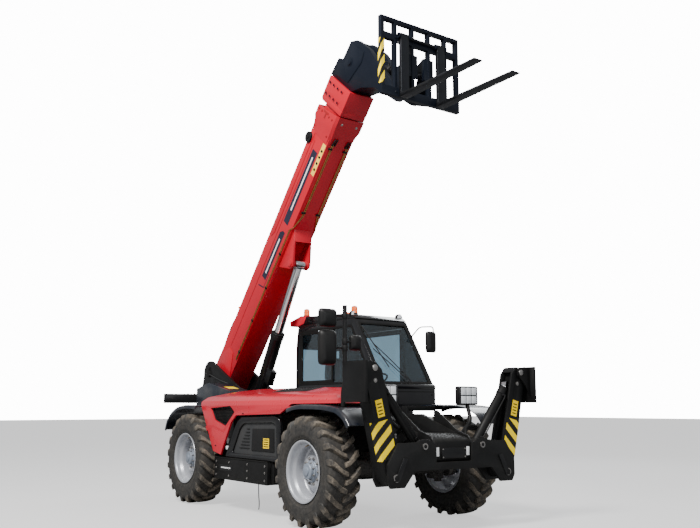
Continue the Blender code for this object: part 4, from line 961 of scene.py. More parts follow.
@dataclass
class Wheel(Assembly):
    """A lugged tyre on its deep-dished rim."""

    axle: str
    side: str
    lugs: int = 20
    radius: float = 0.615
    crown: float = 0.577
    half: float = 0.205

    @property
    def sign(self) -> float:
        """Sign of the side on the X axis."""
        return 1.0 if self.side == "left" else -1.0

    @property
    def centre(self) -> Vector:
        """Middle of the wheel."""
        low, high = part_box(f"tyre_{self.axle}_{self.side}")
        return (low + high) / 2

    def carcass(self) -> Piece:
        """Makes the tyre's body without its bars."""
        profile = [(0.0, self.crown), (0.08, self.crown - 0.002), (0.14, self.crown - 0.008), (0.178, self.crown -
            0.022), (0.194, self.crown - 0.045), (0.2, 0.5), (0.2025, 0.47), (0.2035, 0.44), (0.2, 0.41), (0.19,
            0.375), (0.186, 0.372), (0.184, 0.362), (0.178, 0.358), (0.172, 0.345), (0.168, 0.338), (0.15, 0.332),]
        whole = [(-place, radius) for place, radius in reversed(profile[1:])] + profile
        inner = [(0.14, 0.33), (0.0, 0.33), (-0.14, 0.33)]
        return turned("carcass", [*whole, *inner, whole[0]], self.centre, Axis.X, 1.0, 96, 40.0)

    def lug_rings(self, side: float) -> list[list[Vector]]:
        """Returns the sections of one bar, from the tyre's middle to its shoulder.

        Args:
            side: Which half of the tyre, 1 or -1.

        Returns:
            Rings of four corners, about a wheel whose axis is X and whose top is +Z.
        """
        # across, foot radius, turn in radians, half width at the foot and at the top, top radius, place of the top
        stations = [(-0.012, 0.574, 0.0, 0.034, 0.02, 0.6148, -0.012), (0.045, 0.575, 0.035, 0.036, 0.022, 0.6148,
            0.045), (0.095, 0.573, 0.095, 0.038, 0.024, 0.6144, 0.095), (0.14, 0.567, 0.165, 0.042, 0.027, 0.611,
            0.142), (0.176, 0.552, 0.215, 0.047, 0.031, 0.6, 0.184), (0.1935, 0.528, 0.24, 0.05, 0.036, 0.545, 0.2046),
            (0.1965, 0.49, 0.25, 0.036, 0.025, 0.492, 0.2046),]
        rings = []
        for across, foot, turn, wide, narrow, top, out in stations:
            ring = []
            for radius, place, half in ((foot - 0.012, across - 0.004, wide), (foot - 0.012, across - 0.004, -wide),
                (top, out, -narrow), (top, out, narrow)):
                angle = turn + half / self.crown
                ring.append(Vector((side * place, math.sin(angle) * radius, math.cos(angle) * radius)))
            rings.append(ring)
        return rings

    def tyre(self) -> Piece:
        """Makes the tyre with its bars, the tread attribute set."""
        centre = self.centre
        bars = []
        for side in (-1.0, 1.0):
            bar = loft(f"bar_{side:.0f}", self.lug_rings(side), 30.0)
            rounded(bar, 0.005, 2, 30.0)
            values = bar.data.attributes.new("tread", "FLOAT", "POINT")
            reach = [math.hypot(v.co.y, v.co.z) for v in bar.data.vertices]
            values.data.foreach_set("value", [min(1.0, max(0.0, (r - 0.5) / 0.09)) for r in reach])
            pitch = math.tau / self.lugs
            chance = random.Random(f"{SEED}{self.axle}{self.side}{side}")
            moves = [Matrix.Translation(centre) @ Matrix.Rotation(index * pitch + (pitch / 2 if side > 0 else 0.0) +
                chance.uniform(-0.004, 0.004), 4, "X") for index in range(self.lugs)]
            bars.append(repeated(f"bars_{side:.0f}", bar, moves))
        body = self.carcass()
        values = body.data.attributes.new("tread", "FLOAT", "POINT")
        values.data.foreach_set("value", [0.12] * len(body.data.vertices))
        return joined(f"tyre_{self.axle}_{self.side}_lugged", [body, *bars, *self.wall_rings(centre)])

    def wall_rings(self, centre: Vector) -> list[Piece]:
        """Makes the raised rings on the outer wall."""
        rings = []
        for radius, out, thick in ((0.455, 0.2033, 0.0022), (0.395, 0.1955, 0.003)):
            section = [(out - thick, radius - 0.004), (out + thick * 0.4, radius - 0.002), (out + thick * 0.4, radius +
                0.002), (out - thick, radius + 0.004)]
            rings.append(turned("ring", section, centre, Axis.X, self.sign, 72, 60.0))
        return rings

    def rim(self) -> Piece:
        """Makes the rim: rolled lips, drop centre and dished disc."""
        profile = [(0.15, 0.322), (0.165, 0.3225), (0.173, 0.328), (0.178, 0.34), (0.1835, 0.3445), (0.188, 0.342),
            (0.1885, 0.334), (0.184, 0.325), (0.174, 0.316), (0.155, 0.3115), (0.13, 0.309), (0.112, 0.302), (0.098,
            0.288), (0.085, 0.282), (0.03, 0.28), (-0.002, 0.279), (-0.012, 0.272), (-0.018, 0.262), (-0.012, 0.248),
            (0.004, 0.228), (0.028, 0.205), (0.048, 0.186), (0.058, 0.172), (0.062, 0.16), (0.062, 0.128), (0.058,
            0.12),]
        back = [(0.046, 0.12), (0.046, 0.165), (0.03, 0.185), (0.008, 0.21), (-0.02, 0.236), (-0.034, 0.262), (-0.034,
            0.285), (-0.1, 0.288), (-0.13, 0.305), (-0.168, 0.309), (-0.18, 0.325), (-0.1835, 0.342), (-0.178, 0.344),
            (-0.172, 0.33), (-0.15, 0.323), (0.15, 0.322),]
        return turned("rim_turned", [*profile, *back], self.centre, Axis.X, self.sign, 96, 32.0)

    def studs(self, radius: float, out: float, count: int, head: float, name: str) -> Piece:
        """Makes a ring of wheel nuts.

        Args:
            radius: Radius of the ring.
            out: Place along the axle.
            count: How many.
            head: Radius of a nut.
            name: Name of the piece.

        Returns:
            The joined nuts.
        """
        centre = self.centre
        nut = drum(f"{name}_nut", (0, 0, 0), (0, 0, 0.016), head, 6, 0.002)
        stud = drum(f"{name}_stud", (0, 0, 0.012), (0, 0, 0.026), head * 0.5, 12, 0.001)
        washer = drum(f"{name}_washer", (0, 0, -0.002), (0, 0, 0.004), head * 1.35, 16, 0.001)
        template = joined(name, [nut, stud, washer])
        moves = []
        for index in range(count):
            angle = math.tau * (index + 0.5) / count
            place = centre + Vector((self.sign * out, math.sin(angle) * radius, math.cos(angle) * radius))
            moves.append(facing(place, (self.sign, 0, 0), angle))
        return repeated(name, template, moves)

    def hub(self) -> Piece:
        """Makes the planetary hub cover in the middle of the disc."""
        profile = [(0.03, 0.1185), (0.066, 0.1185), (0.07, 0.116), (0.074, 0.11), (0.088, 0.108), (0.092, 0.104),
            (0.096, 0.094), (0.124, 0.088), (0.131, 0.08), (0.134, 0.05), (0.146, 0.046), (0.149, 0.04), (0.149, 0.0)]
        return turned("hub_cover", profile, self.centre, Axis.X, self.sign, 64, 32.0)

    def make(self) -> None:
        """Builds the wheel and sets it on its body."""
        label = f"{self.axle}_{self.side}"
        body = f"wheel_{label}"
        tyre = self.tyre()
        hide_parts(f"tyre_{label}")
        self.fit(tyre, TYRE, body, "rubber")
        rim = self.rim()
        holes = []
        centre = self.centre
        for index in range(8):
            angle = math.tau * index / 8
            place = centre + Vector((0, math.sin(angle) * 0.234, math.cos(angle) * 0.234))
            holes.append(drum("hole", place - Vector((0.08, 0, 0)), place + Vector((0.08, 0, 0)), 0.014, 20, 0.0))
        carved(rim, joined("holes", holes))
        smoothed(rim, 32.0)
        rim.name = f"rim_{label}_dished"
        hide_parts(f"rim_{label}")
        self.fit(rim, SILVER, body, "rim_paint")
        self.fit(self.studs(0.142, 0.062, 10, 0.0135, f"wheel_nuts_{label}"), ZINC, body)
        cover = self.hub()
        cover.name = f"hub_cover_{label}"
        self.fit(cover, HUB, body, "rim_paint")
        self.fit(self.studs(0.098, 0.0925, 8, 0.008, f"hub_bolts_{label}"), ZINC, body)
        self.fit(drum(f"valve_{label}", centre + Vector((self.sign * 0.1, 0, 0.288)), centre + Vector((self.sign *
            0.145, 0, 0.272)), 0.006, 12, 0.001), BRASS, body)


# ---- Boom ----------------------------------------------------------------------------


BOOM_ANGLE = math.radians(49.0)
BOOM_PIVOT = joint_place("boom_lift")
BOOM_PLACE = Matrix.Translation(BOOM_PIVOT) @ Matrix(((1.0, 0.0, 0.0, 0.0), (0.0, -math.cos(BOOM_ANGLE),
    math.sin(BOOM_ANGLE), 0.0), (0.0, math.sin(BOOM_ANGLE), math.cos(BOOM_ANGLE), 0.0), (0.0, 0.0, 0.0, 1.0),))


def on_boom(across: float, reach: float, rise: float) -> Vector:
    """Returns a place given across, along and above the boom's line.

    Args:
        across: Distance to the left of the middle.
        reach: Distance from the pivot along the boom.
        rise: Distance above the pivot's line, square to the boom.

    Returns:
        The place in the machine's frame.
    """
    return BOOM_PLACE @ Vector((across, reach, rise))


def laid_on_boom(piece: Piece) -> Piece:
    """Moves a piece made in the boom's own axes on to the boom. X stays, Y is reach and Z is rise."""
    piece.data.transform(BOOM_PLACE)
    return outward(piece)


@dataclass
class Boom(Assembly):
    """The three boom sections with their plates, stripes, pipes and collars."""

    home: str = field(default="boom_outer", init=False)
    half: float = 0.19
    top: float = 0.08
    bottom: float = -0.44

    def lay(self, piece: Piece, finish: Finish, body: str | None = None, slot: str | None = None) -> Piece:
        """Fits a piece that is made in the boom's own axes."""
        return self.fit(laid_on_boom(piece), finish, body, slot)

    def sections(self) -> None:
        """Refines the three telescopic sections."""
        for node, bevel in (("boom_outer", 0.012), ("boom_middle", 0.006), ("boom_inner", 0.006)):
            self.fit(refined(node, f"{node}_shell", bevel, 3), RED, node, "red_paint")

    def side_plates(self) -> None:
        """Adds the weld seams, stiffening plates and bosses on both sides."""
        for side, label in SIDES:
            face = side * self.half
            outer = face + side * 0.01
            foot = plate(f"boom_foot_plate_{label}", Axis.X, [(-0.1, 0.0), (-0.04, 0.075), (0.3, 0.075), (0.62, -0.1),
                (0.62, -0.25), (0.3, -0.42), (0.02, -0.42), (-0.08, -0.12)], *sorted((face, outer)), 0.004)
            self.lay(foot, RED, slot="red_paint")
            # The seam and the port plugs below take the shaded boom red: painted shade.
            seam = joined(f"boom_seam_{label}", [box("seam_a", (face, 0.66, -0.118), (face + side * 0.004, 4.28,
                -0.112), 0.0015),])
            self.lay(seam, RED_PAINTED_SHADE, slot="red_paint")
            rib = joined(f"boom_top_rib_{label}", [plate("rib", Axis.X, [(2.62, 0.0), (2.7, 0.052), (4.38, 0.052),
                (4.38, -0.045), (2.72, -0.045)], *sorted((face, face + side * 0.006)), 0.003)])
            self.lay(rib, RED, slot="red_paint")
            wear = []
            for index in range(4):
                reach = 2.28 + index * 0.22
                wear.append(drum("port", (face - side * 0.002, reach, -0.385), (face + side * 0.006, reach, -0.385),
                    0.021, 20, 0.002))
                wear.append(drum("port_bolt", (face + side * 0.004, reach, -0.385), (face + side * 0.011, reach,
                    -0.385), 0.011, 6, 0.001))
            self.lay(joined(f"boom_port_plugs_{label}", wear), RED_PAINTED_SHADE)

    def stripe(self) -> None:
        """Adds the blank stripes, their white blocks and the yellow label on each side."""
        for side, label in SIDES:
            face = side * self.half
            out = face + side * 0.0016
            low, high = sorted((face, out))
            band = joined(f"boom_stripe_{label}", [plate("band_a", Axis.X, [(2.98, -0.295), (2.98, -0.15), (4.16,
                -0.15), (4.16, -0.295)], low, high, 0.0), plate("band_b", Axis.X, [(2.03, -0.305), (2.03, -0.175),
                (2.8, -0.175), (2.86, -0.24), (2.86, -0.305)], low, high, 0.0)])
            self.lay(band, SLATE)
            edge = joined(f"boom_stripe_edge_{label}", [plate("edge_a", Axis.X, [(1.86, -0.175), (1.88, -0.175), (1.93,
                -0.33), (1.91, -0.33)], low, high, 0.0), box("edge_b", (low, 1.91, -0.338), (high, 2.16, -0.328),
                0.0)])
            self.lay(edge, SLATE)
            front = sorted((face, face + side * 0.003))
            lines = [box("line", (front[0], reach, rise), (front[1], reach + length, rise + 0.03), 0.0) for reach,
                length, rise in ((3.2, 0.86, -0.24), (2.12, 0.6, -0.255))]
            self.lay(joined(f"boom_lines_{label}", lines), WHITE)
            patch = box(f"boom_label_{label}", (low, 3.86, -0.425), (high, 4.34, -0.335), 0.0)
            self.lay(patch, CREAM)
            marks = [box("mark", (front[0], 3.93 + index * 0.095, -0.405), (front[1], 3.965 + index * 0.095, -0.355),
                0.0) for index in range(4)]
            self.lay(joined(f"boom_label_marks_{label}", marks), TRIM)

    def mouth(self, name: str, start: float, end: float, grow: Flat, body: str, hole: tuple[float, float,
        float]) -> None:
        """Adds a faceted mouth piece round the boom that widens from its start to its end.

        Args:
            name: Name of the piece.
            start: Reach where it starts.
            end: Reach where it ends.
            grow: How far it stands out at the start and at the end.
            body: Body that carries it.
            hole: Half width, top and bottom of the hole through it.
        """
        rings = []
        for share, out in ((0.0, grow[0]), (0.45, grow[0] + (grow[1] - grow[0]) * 0.55), (0.62, grow[1]), (1.0,
            grow[1])):
            x, top, low = self.half + out, self.top + out, self.bottom - out
            cut = 0.035
            lean = 0.06 * share
            rings.append([Vector(spot) for spot in ((-x, start + (end - start) * share, low + cut), (-x + cut, start +
                (end - start) * share, low), (x - cut, start + (end - start) * share, low), (x, start + (end - start) *
                share, low + cut), (x, start + (end - start) * share - lean, top - cut), (x - cut, start + (end -
                start) * share - lean, top), (-x + cut, start + (end - start) * share - lean, top), (-x, start + (end -
                start) * share - lean, top - cut))])
        piece = loft(name, rings, 30.0)
        half, top, low = hole
        cutter = box("cut", (-half, start - 0.2, low), (half, end + 0.2, top), 0.0)
        piece = rounded(carved(piece, cutter), 0.005, 2)
        piece.name = name
        self.fit(smoothed(laid_on_boom(piece)), RED, body, "red_paint")

    def collar(self) -> None:
        """Adds the faceted mouth of the outer section, with its plates and pad bolts."""
        self.mouth("boom_mouth", 4.36, 4.79, (0.004, 0.042), "boom_outer", (self.half + 0.001, self.top + 0.001,
            self.bottom - 0.001))
        for side, label in SIDES:
            # The collar bolts and the mouth slot below take the shaded boom red: painted shade.
            spots = [on_boom(side * (self.half + 0.041), 4.7, rise) for rise in (0.03, -0.06, -0.28, -0.38)]
            spots += [on_boom(side * (self.half + 0.012), 4.45, rise) for rise in (0.02, -0.36)]
            self.fit(bolts(f"collar_bolts_{label}", spots, (side, 0, 0), 0.013), RED_PAINTED_SHADE)
            flank = plate(f"inner_flank_{label}", Axis.X, [(4.805, -0.475), (4.805, 0.09), (4.83, 0.135), (4.882,
                0.135), (4.882, -0.475)], *sorted((side * 0.155, side * 0.1995)), 0.004)
            self.lay(flank, RED, "boom_inner", "red_paint")
            slot = plate(f"mouth_slot_{label}", Axis.X, [(4.64, -0.2), (4.64, -0.16), (4.71, -0.16), (4.71, -0.1),
                (4.74, -0.1), (4.74, -0.25), (4.71, -0.25), (4.71, -0.2)], *sorted((side * 0.231, side * 0.2335)),
                0.001)
            self.lay(slot, RED_PAINTED_SHADE)
        sill = joined("inner_collar", [box("low", (-0.156, 4.805, -0.4745), (0.156, 4.882, -0.425), 0.003), box("high",
            (-0.156, 4.83, 0.065), (0.156, 4.882, 0.1345), 0.003)])
        self.lay(sill, RED, "boom_inner", "red_paint")
        down = BOOM_PLACE.to_3x3() @ Vector((0, 0, -1))
        under = [on_boom(x, 4.7, self.bottom - 0.041) for x in (-0.12, 0.12)]
        self.fit(bolts("collar_bolts_under", under, down, 0.014), ZINC)
        above = [on_boom(x, 4.64, self.top + 0.041) for x in (-0.14, -0.05, 0.05, 0.14)]
        self.fit(bolts("collar_bolts_top", above, -down, 0.013), ZINC)
        for x, label in ((-0.1, "right"), (0.115, "left")):
            elbow = []
            for shift in (-0.018, 0.018):
                route = [on_boom(x + shift, 4.385, self.bottom - 0.014), on_boom(x + shift, 4.43, self.bottom - 0.03),
                    on_boom(x + shift + 0.012, 4.475, self.bottom - 0.026)]
                elbow.append(tube("elbow", smooth_path(route, 4), 0.01))
                elbow.append(drum("nut", route[0] - (route[1] - route[0]) * 0.3, route[0] + (route[1] - route[0]) *
                    0.4, 0.015, 6, 0.001))
            self.fuse(f"boom_pipe_elbows_{label}", elbow, SEAL)

    def pipes(self) -> None:
        """Adds the pairs of steel pipes along both lower edges, with their clamps."""
        for side, label in SIDES:
            lines, clamps = [], []
            for index, offset in enumerate((0.0, 0.021)):
                drop = self.bottom - 0.013
                inner = side * (self.half - 0.068 - offset) if side < 0 else side * (self.half - 0.045 - offset)
                wide = side * (self.half + 0.012)
                low = self.bottom + 0.02 + offset
                route = [(wide, 0.62, low), (wide, 2.98, low), (side * (self.half - 0.004), 3.03, drop), (inner, 3.24,
                    drop), (inner, 4.36, drop), (inner, 4.39, drop)]
                lines.append(tube(f"line_{index}", [on_boom(*p) for p in fillet_path(route, 0.035)], 0.0062, 0, 2))
            for reach in (3.28, 4.3):
                inner, outer = sorted((side * (self.half - 0.1), side * (self.half - 0.035)))
                clamps.append(laid_on_boom(box("clamp", (inner, reach, self.bottom - 0.022), (outer, reach + 0.03,
                    self.bottom - 0.001), 0.004)))
            for reach in (0.75, 1.35, 1.95, 2.55):
                inner, outer = sorted((side * (self.half - 0.001), side * (self.half + 0.021)))
                clamps.append(laid_on_boom(box("clamp", (inner, reach, self.bottom + 0.008), (outer, reach + 0.03,
                    self.bottom + 0.055), 0.004)))
            self.fuse(f"boom_pipes_{label}", lines, BRASS)
            self.fuse(f"boom_pipe_clamps_{label}", clamps, TRIM)

    def hoses(self) -> None:
        """Adds the looped hoses behind the boom, which start and end on it."""
        for index, (x, lift) in enumerate(((-0.1, 0.0), (-0.05, 0.035))):
            points = [on_boom(x, 1.02 + lift, self.top - 0.005), on_boom(x, 1.02 + lift, self.top + 0.07), on_boom(x,
                0.9 + lift, self.top + 0.135 + lift), on_boom(x, 0.62, self.top + 0.14 + lift), on_boom(x, 0.36 - lift,
                self.top + 0.1 + lift), on_boom(x, 0.26 - lift, self.top - 0.005),]
            route = smooth_path(points, 6)
            hose = tube(f"boom_hose_{index}", route, 0.011, 0, 3)
            self.fit(hose, SEAL)
        fittings = []
        for x, lift in ((-0.1, 0.0), (-0.05, 0.035)):
            for reach in (1.02 + lift, 0.26 - lift):
                fittings.append(drum("fitting", on_boom(x, reach, self.top - 0.002), on_boom(x, reach, self.top +
                    0.03), 0.016, 6, 0.002))
        self.fuse("boom_hose_fittings", fittings, ZINC)
        # The marker post and its knob take the amber lens finish, whose faint glow is painted light: the post is no
        # lamp.
        self.fuse("boom_marker_post_painted_glow", [drum("post", on_boom(-0.12, 1.18, self.top - 0.002), on_boom(-0.12, 1.18,
            self.top + 0.1), 0.008, 12), drum("knob", on_boom(-0.12, 1.18, self.top + 0.09), on_boom(-0.12, 1.18,
            self.top + 0.125), 0.016, 16)], AMBER)

    def top_gear(self) -> None:
        """Adds the hose reel and valve box near the mouth of the boom and the boss at the foot."""
        self.fuse("boom_reel", [turned("reel_cheek", [(-0.016, 0.028), (-0.016, 0.075), (-0.012, 0.078), (-0.009,
            0.075), (-0.009, 0.05), (0.009, 0.05), (0.009, 0.075), (0.012, 0.078), (0.016, 0.075), (0.016, 0.028),
            (-0.016, 0.028)], on_boom(-self.half - 0.02, 4.25, 0.045), Axis.X, 1.0, 40), drum("reel_pin",
            on_boom(-self.half + 0.005, 4.25, 0.045), on_boom(-self.half - 0.045, 4.25, 0.045), 0.028, 24, 0.003)],
            TRIM)
        self.lay(box("boom_valve_box", (-0.12, 4.18, self.top - 0.002), (0.02, 4.34, self.top + 0.06), 0.008), TRIM)
        for side, label in SIDES:
            cap = joined(f"boom_pin_cap_{label}", [turned("cap", [(0.268, 0.0), (0.288, 0.0), (0.29, 0.03), (0.286,
                0.052), (0.268, 0.055)], (0.0, BOOM_PIVOT.y, BOOM_PIVOT.z), Axis.X, side, 36), box("keeper", (side *
                0.268, BOOM_PIVOT.y - 0.02, BOOM_PIVOT.z + 0.045), (side * 0.282, BOOM_PIVOT.y + 0.02, BOOM_PIVOT.z +
                0.1), 0.003)])
            cap.data.transform(Matrix.Translation((side * 0.032, 0, 0)))
            self.fit(cap, FRAME, "chassis")

    def make(self) -> None:
        """Builds the boom."""
        self.sections()
        self.side_plates()
        self.stripe()
        self.collar()
        self.pipes()
        self.hoses()
        self.top_gear()


@dataclass
class Cylinder(Assembly):
    """A hydraulic cylinder's barrel and rod with gland, ports and pin bosses."""

    label: str
    barrel_node: str
    rod_node: str
    base: Point
    eye: Point
    radius: float
    length: float
    rod_radius: float
    body: str

    def make(self) -> None:
        """Builds the cylinder's finished pieces."""
        base, eye = Vector(self.base), Vector(self.eye)
        along = (eye - base).normalized()
        barrel = refined(self.barrel_node, f"{self.label}_barrel_body", 0.002)
        self.fit(barrel, LEG if "stabiliser" in self.label else BLACK, self.body, "black_paint")
        self.fit(refined(self.rod_node, f"{self.label}_rod_body", 0.0015), CHROME, self.rod_node if
            self.rod_node.endswith("_rod") else self.rod_body(), "chrome")
        r = self.radius
        turn = standing(along)
        gland = turned(f"{self.label}_gland", [(-0.09, r + 0.0005), (-0.085, r + 0.006), (-0.03, r + 0.006), (-0.025,
            r + 0.003), (-0.015, r + 0.003), (-0.01, r + 0.006), (0.0, r + 0.006), (0.004, r + 0.002), (0.004,
            self.rod_radius + 0.012), (0.016, self.rod_radius + 0.01), (0.016, self.rod_radius + 0.0015), (-0.02,
            self.rod_radius + 0.0015)], (0, 0, 0), Axis.Z, 1.0, 48)
        gland.data.transform(Matrix.Translation(base + along * self.length) @ turn)
        self.fit(gland, LEG if "stabiliser" in self.label else TRIM, self.body)
        side = along.cross(Vector((1, 0, 0))) if abs(along.x) < 0.5 else Vector((0, -1, 0))
        side.normalize()
        ports = []
        for place in (self.length * 0.12, self.length * 0.88):
            foot = base + along * place + side * (r - 0.004)
            ports.append(drum("port", foot, foot + side * 0.022, 0.016, 20, 0.002))
            ports.append(drum("port_nut", foot + side * 0.018, foot + side * 0.038, 0.012, 6, 0.001))
        pipe = [base + along * (self.length * 0.88) + side * (r + 0.034), base + along * (self.length * 0.84) + side *
            (r + 0.045), base + along * (self.length * 0.2) + side * (r + 0.045), base + along * (self.length * 0.12) +
            side * (r + 0.034)]
        ports.append(tube("port_pipe", fillet_path(pipe, 0.05), 0.007))
        self.fuse(f"{self.label}_ports", ports, TRIM if r < 0.06 else ZINC, self.body)

    def rod_body(self) -> str:
        """Returns the body that carries the rod."""
        return self.rod_node.replace("stabiliser_rod", "leg_rod")


def boom_cylinders() -> list[Cylinder]:
    """Returns the lift and tilt cylinders."""
    lift_eye = on_boom(0.0, 2.58, -0.67)
    tilt_base = on_boom(0.0, 5.47, -0.14)
    return [Cylinder("lift_cylinder", "lift_barrel", "lift_rod", tuple(joint_place("lift_cylinder_swing")),
        tuple(lift_eye), 0.094, 1.83, 0.065, "lift_barrel"), Cylinder("tilt_cylinder", "tilt_barrel", "tilt_rod",
        tuple(tilt_base), (0.0, -1.82, 5.4), 0.052, 0.76, 0.028, "tilt_barrel"),]


@dataclass
class Head(Assembly):
    """The boom head, the fork carriage and the forks."""

    home: str = field(default="boom_inner", init=False)
    low: float = 4.95
    front: float = -2.03

    def head(self) -> None:
        """Refines the gooseneck and adds its plates, pins and bolts."""
        self.fit(refined("boom_head", "boom_head_plates", 0.006, 2), NAVY, slot="navy_paint")
        pin = joint_place("carriage_tilt")
        pins = []
        for side in (-1.0, 1.0):
            pins.append(turned("pin_end", [(0.196, 0.0), (0.214, 0.0), (0.216, 0.02), (0.214, 0.036), (0.196, 0.04)],
                (0.0, pin.y, pin.z), Axis.X, side, 32))
        self.fuse("carriage_pin_ends", pins, ZINC)
        for side, label in SIDES:
            face = side * 0.22
            spots = [on_boom(face, reach, rise) for reach in (4.93, 5.09) for rise in (0.045, -0.07, -0.19, -0.31)]
            self.fit(bolts(f"head_bolts_{label}", spots, (side, 0, 0), 0.012), NAVY)
            step = side * 0.006
            cheek = plate(f"head_cheek_{label}", Axis.X, [(5.2, 0.1), (5.36, 0.115), (5.4, -0.02), (5.7, -0.03), (5.7,
                -0.36), (5.56, -0.4), (5.22, -0.28)], *sorted((side * 0.16, side * 0.16 + step)), 0.002)
            self.fit(laid_on_boom(cheek), NAVY, slot="navy_paint")
            hub = on_boom(side * 0.16, 5.47, -0.14)
            self.fit(turned(f"head_boss_{label}", [(0.15, 0.0), (0.186, 0.0), (0.188, 0.03), (0.185, 0.045), (0.172,
                0.05), (0.17, 0.062), (0.15, 0.064)], (0.0, hub.y, hub.z), Axis.X, side, 36), NAVY)

    def carriage(self) -> None:
        """Refines the carriage and adds its warning bands, bolts and hooks."""
        self.fit(refined("fork_carriage", "fork_carriage_frame", 0.004, 2), NAVY, "carriage", "navy_paint")
        self.fit(box("carriage_warning_right", (-0.6215, self.front - 0.0015, self.low + 0.125), (-0.571, self.front +
            0.061, self.low + 0.69), 0.0), WARNING_CARRIAGE, "carriage")
        spots = [(x, self.front - 0.0005, z) for x in (-0.4, -0.13, 0.13, 0.4) for z in (self.low + 0.055, self.low +
            0.74)]
        self.fit(bolts("carriage_bolts", spots, (0, -1, 0), 0.012), NAVY, "carriage")
        stops = [box("stop", (x - 0.02, self.front - 0.012, self.low + 0.93), (x + 0.02, self.front + 0.001, self.low +
            0.975), 0.003) for x in (-0.55, -0.1, 0.1, 0.55)]
        self.fuse("carriage_stops", stops, NAVY, "carriage")

    def forks(self) -> None:
        """Refines the forks and adds their hangers on the shaft."""
        self.fit(refined("forks", "fork_blades", 0.006, 3), FORK, "carriage", "fork_steel")
        hangers = []
        for x in (-0.29, 0.29):
            for reach in (-0.075, 0.075):
                hangers.append(turned("hanger", [(x + reach - 0.012, 0.019), (x + reach - 0.012, 0.034), (x + reach +
                    0.012, 0.034), (x + reach + 0.012, 0.019), (x + reach - 0.012, 0.019)], (0.0, self.front - 0.0223,
                    self.low + 0.77), Axis.X, 1.0, 24))
        self.fuse("fork_hangers", hangers, NAVY, "carriage")

    def make(self) -> None:
        """Builds the head, carriage and forks."""
        self.head()
        self.carriage()
        self.forks()


# ---- Cab -----------------------------------------------------------------------------


def lying_on(foot: Flat, head: Flat) -> Callable[[float, float, float], Point]:
    """Returns a map from (x, along, out) to a place on a sloping pane, given its foot and head (y, z)."""
    run = Vector((head[0] - foot[0], head[1] - foot[1]))
    length = run.length
    run.normalize()

    def place(x: float, along: float, out: float) -> Point:
        share = along * length
        return (x, foot[0] + run.x * share - run.y * out, foot[1] + run.y * share + run.x * out)

    return place


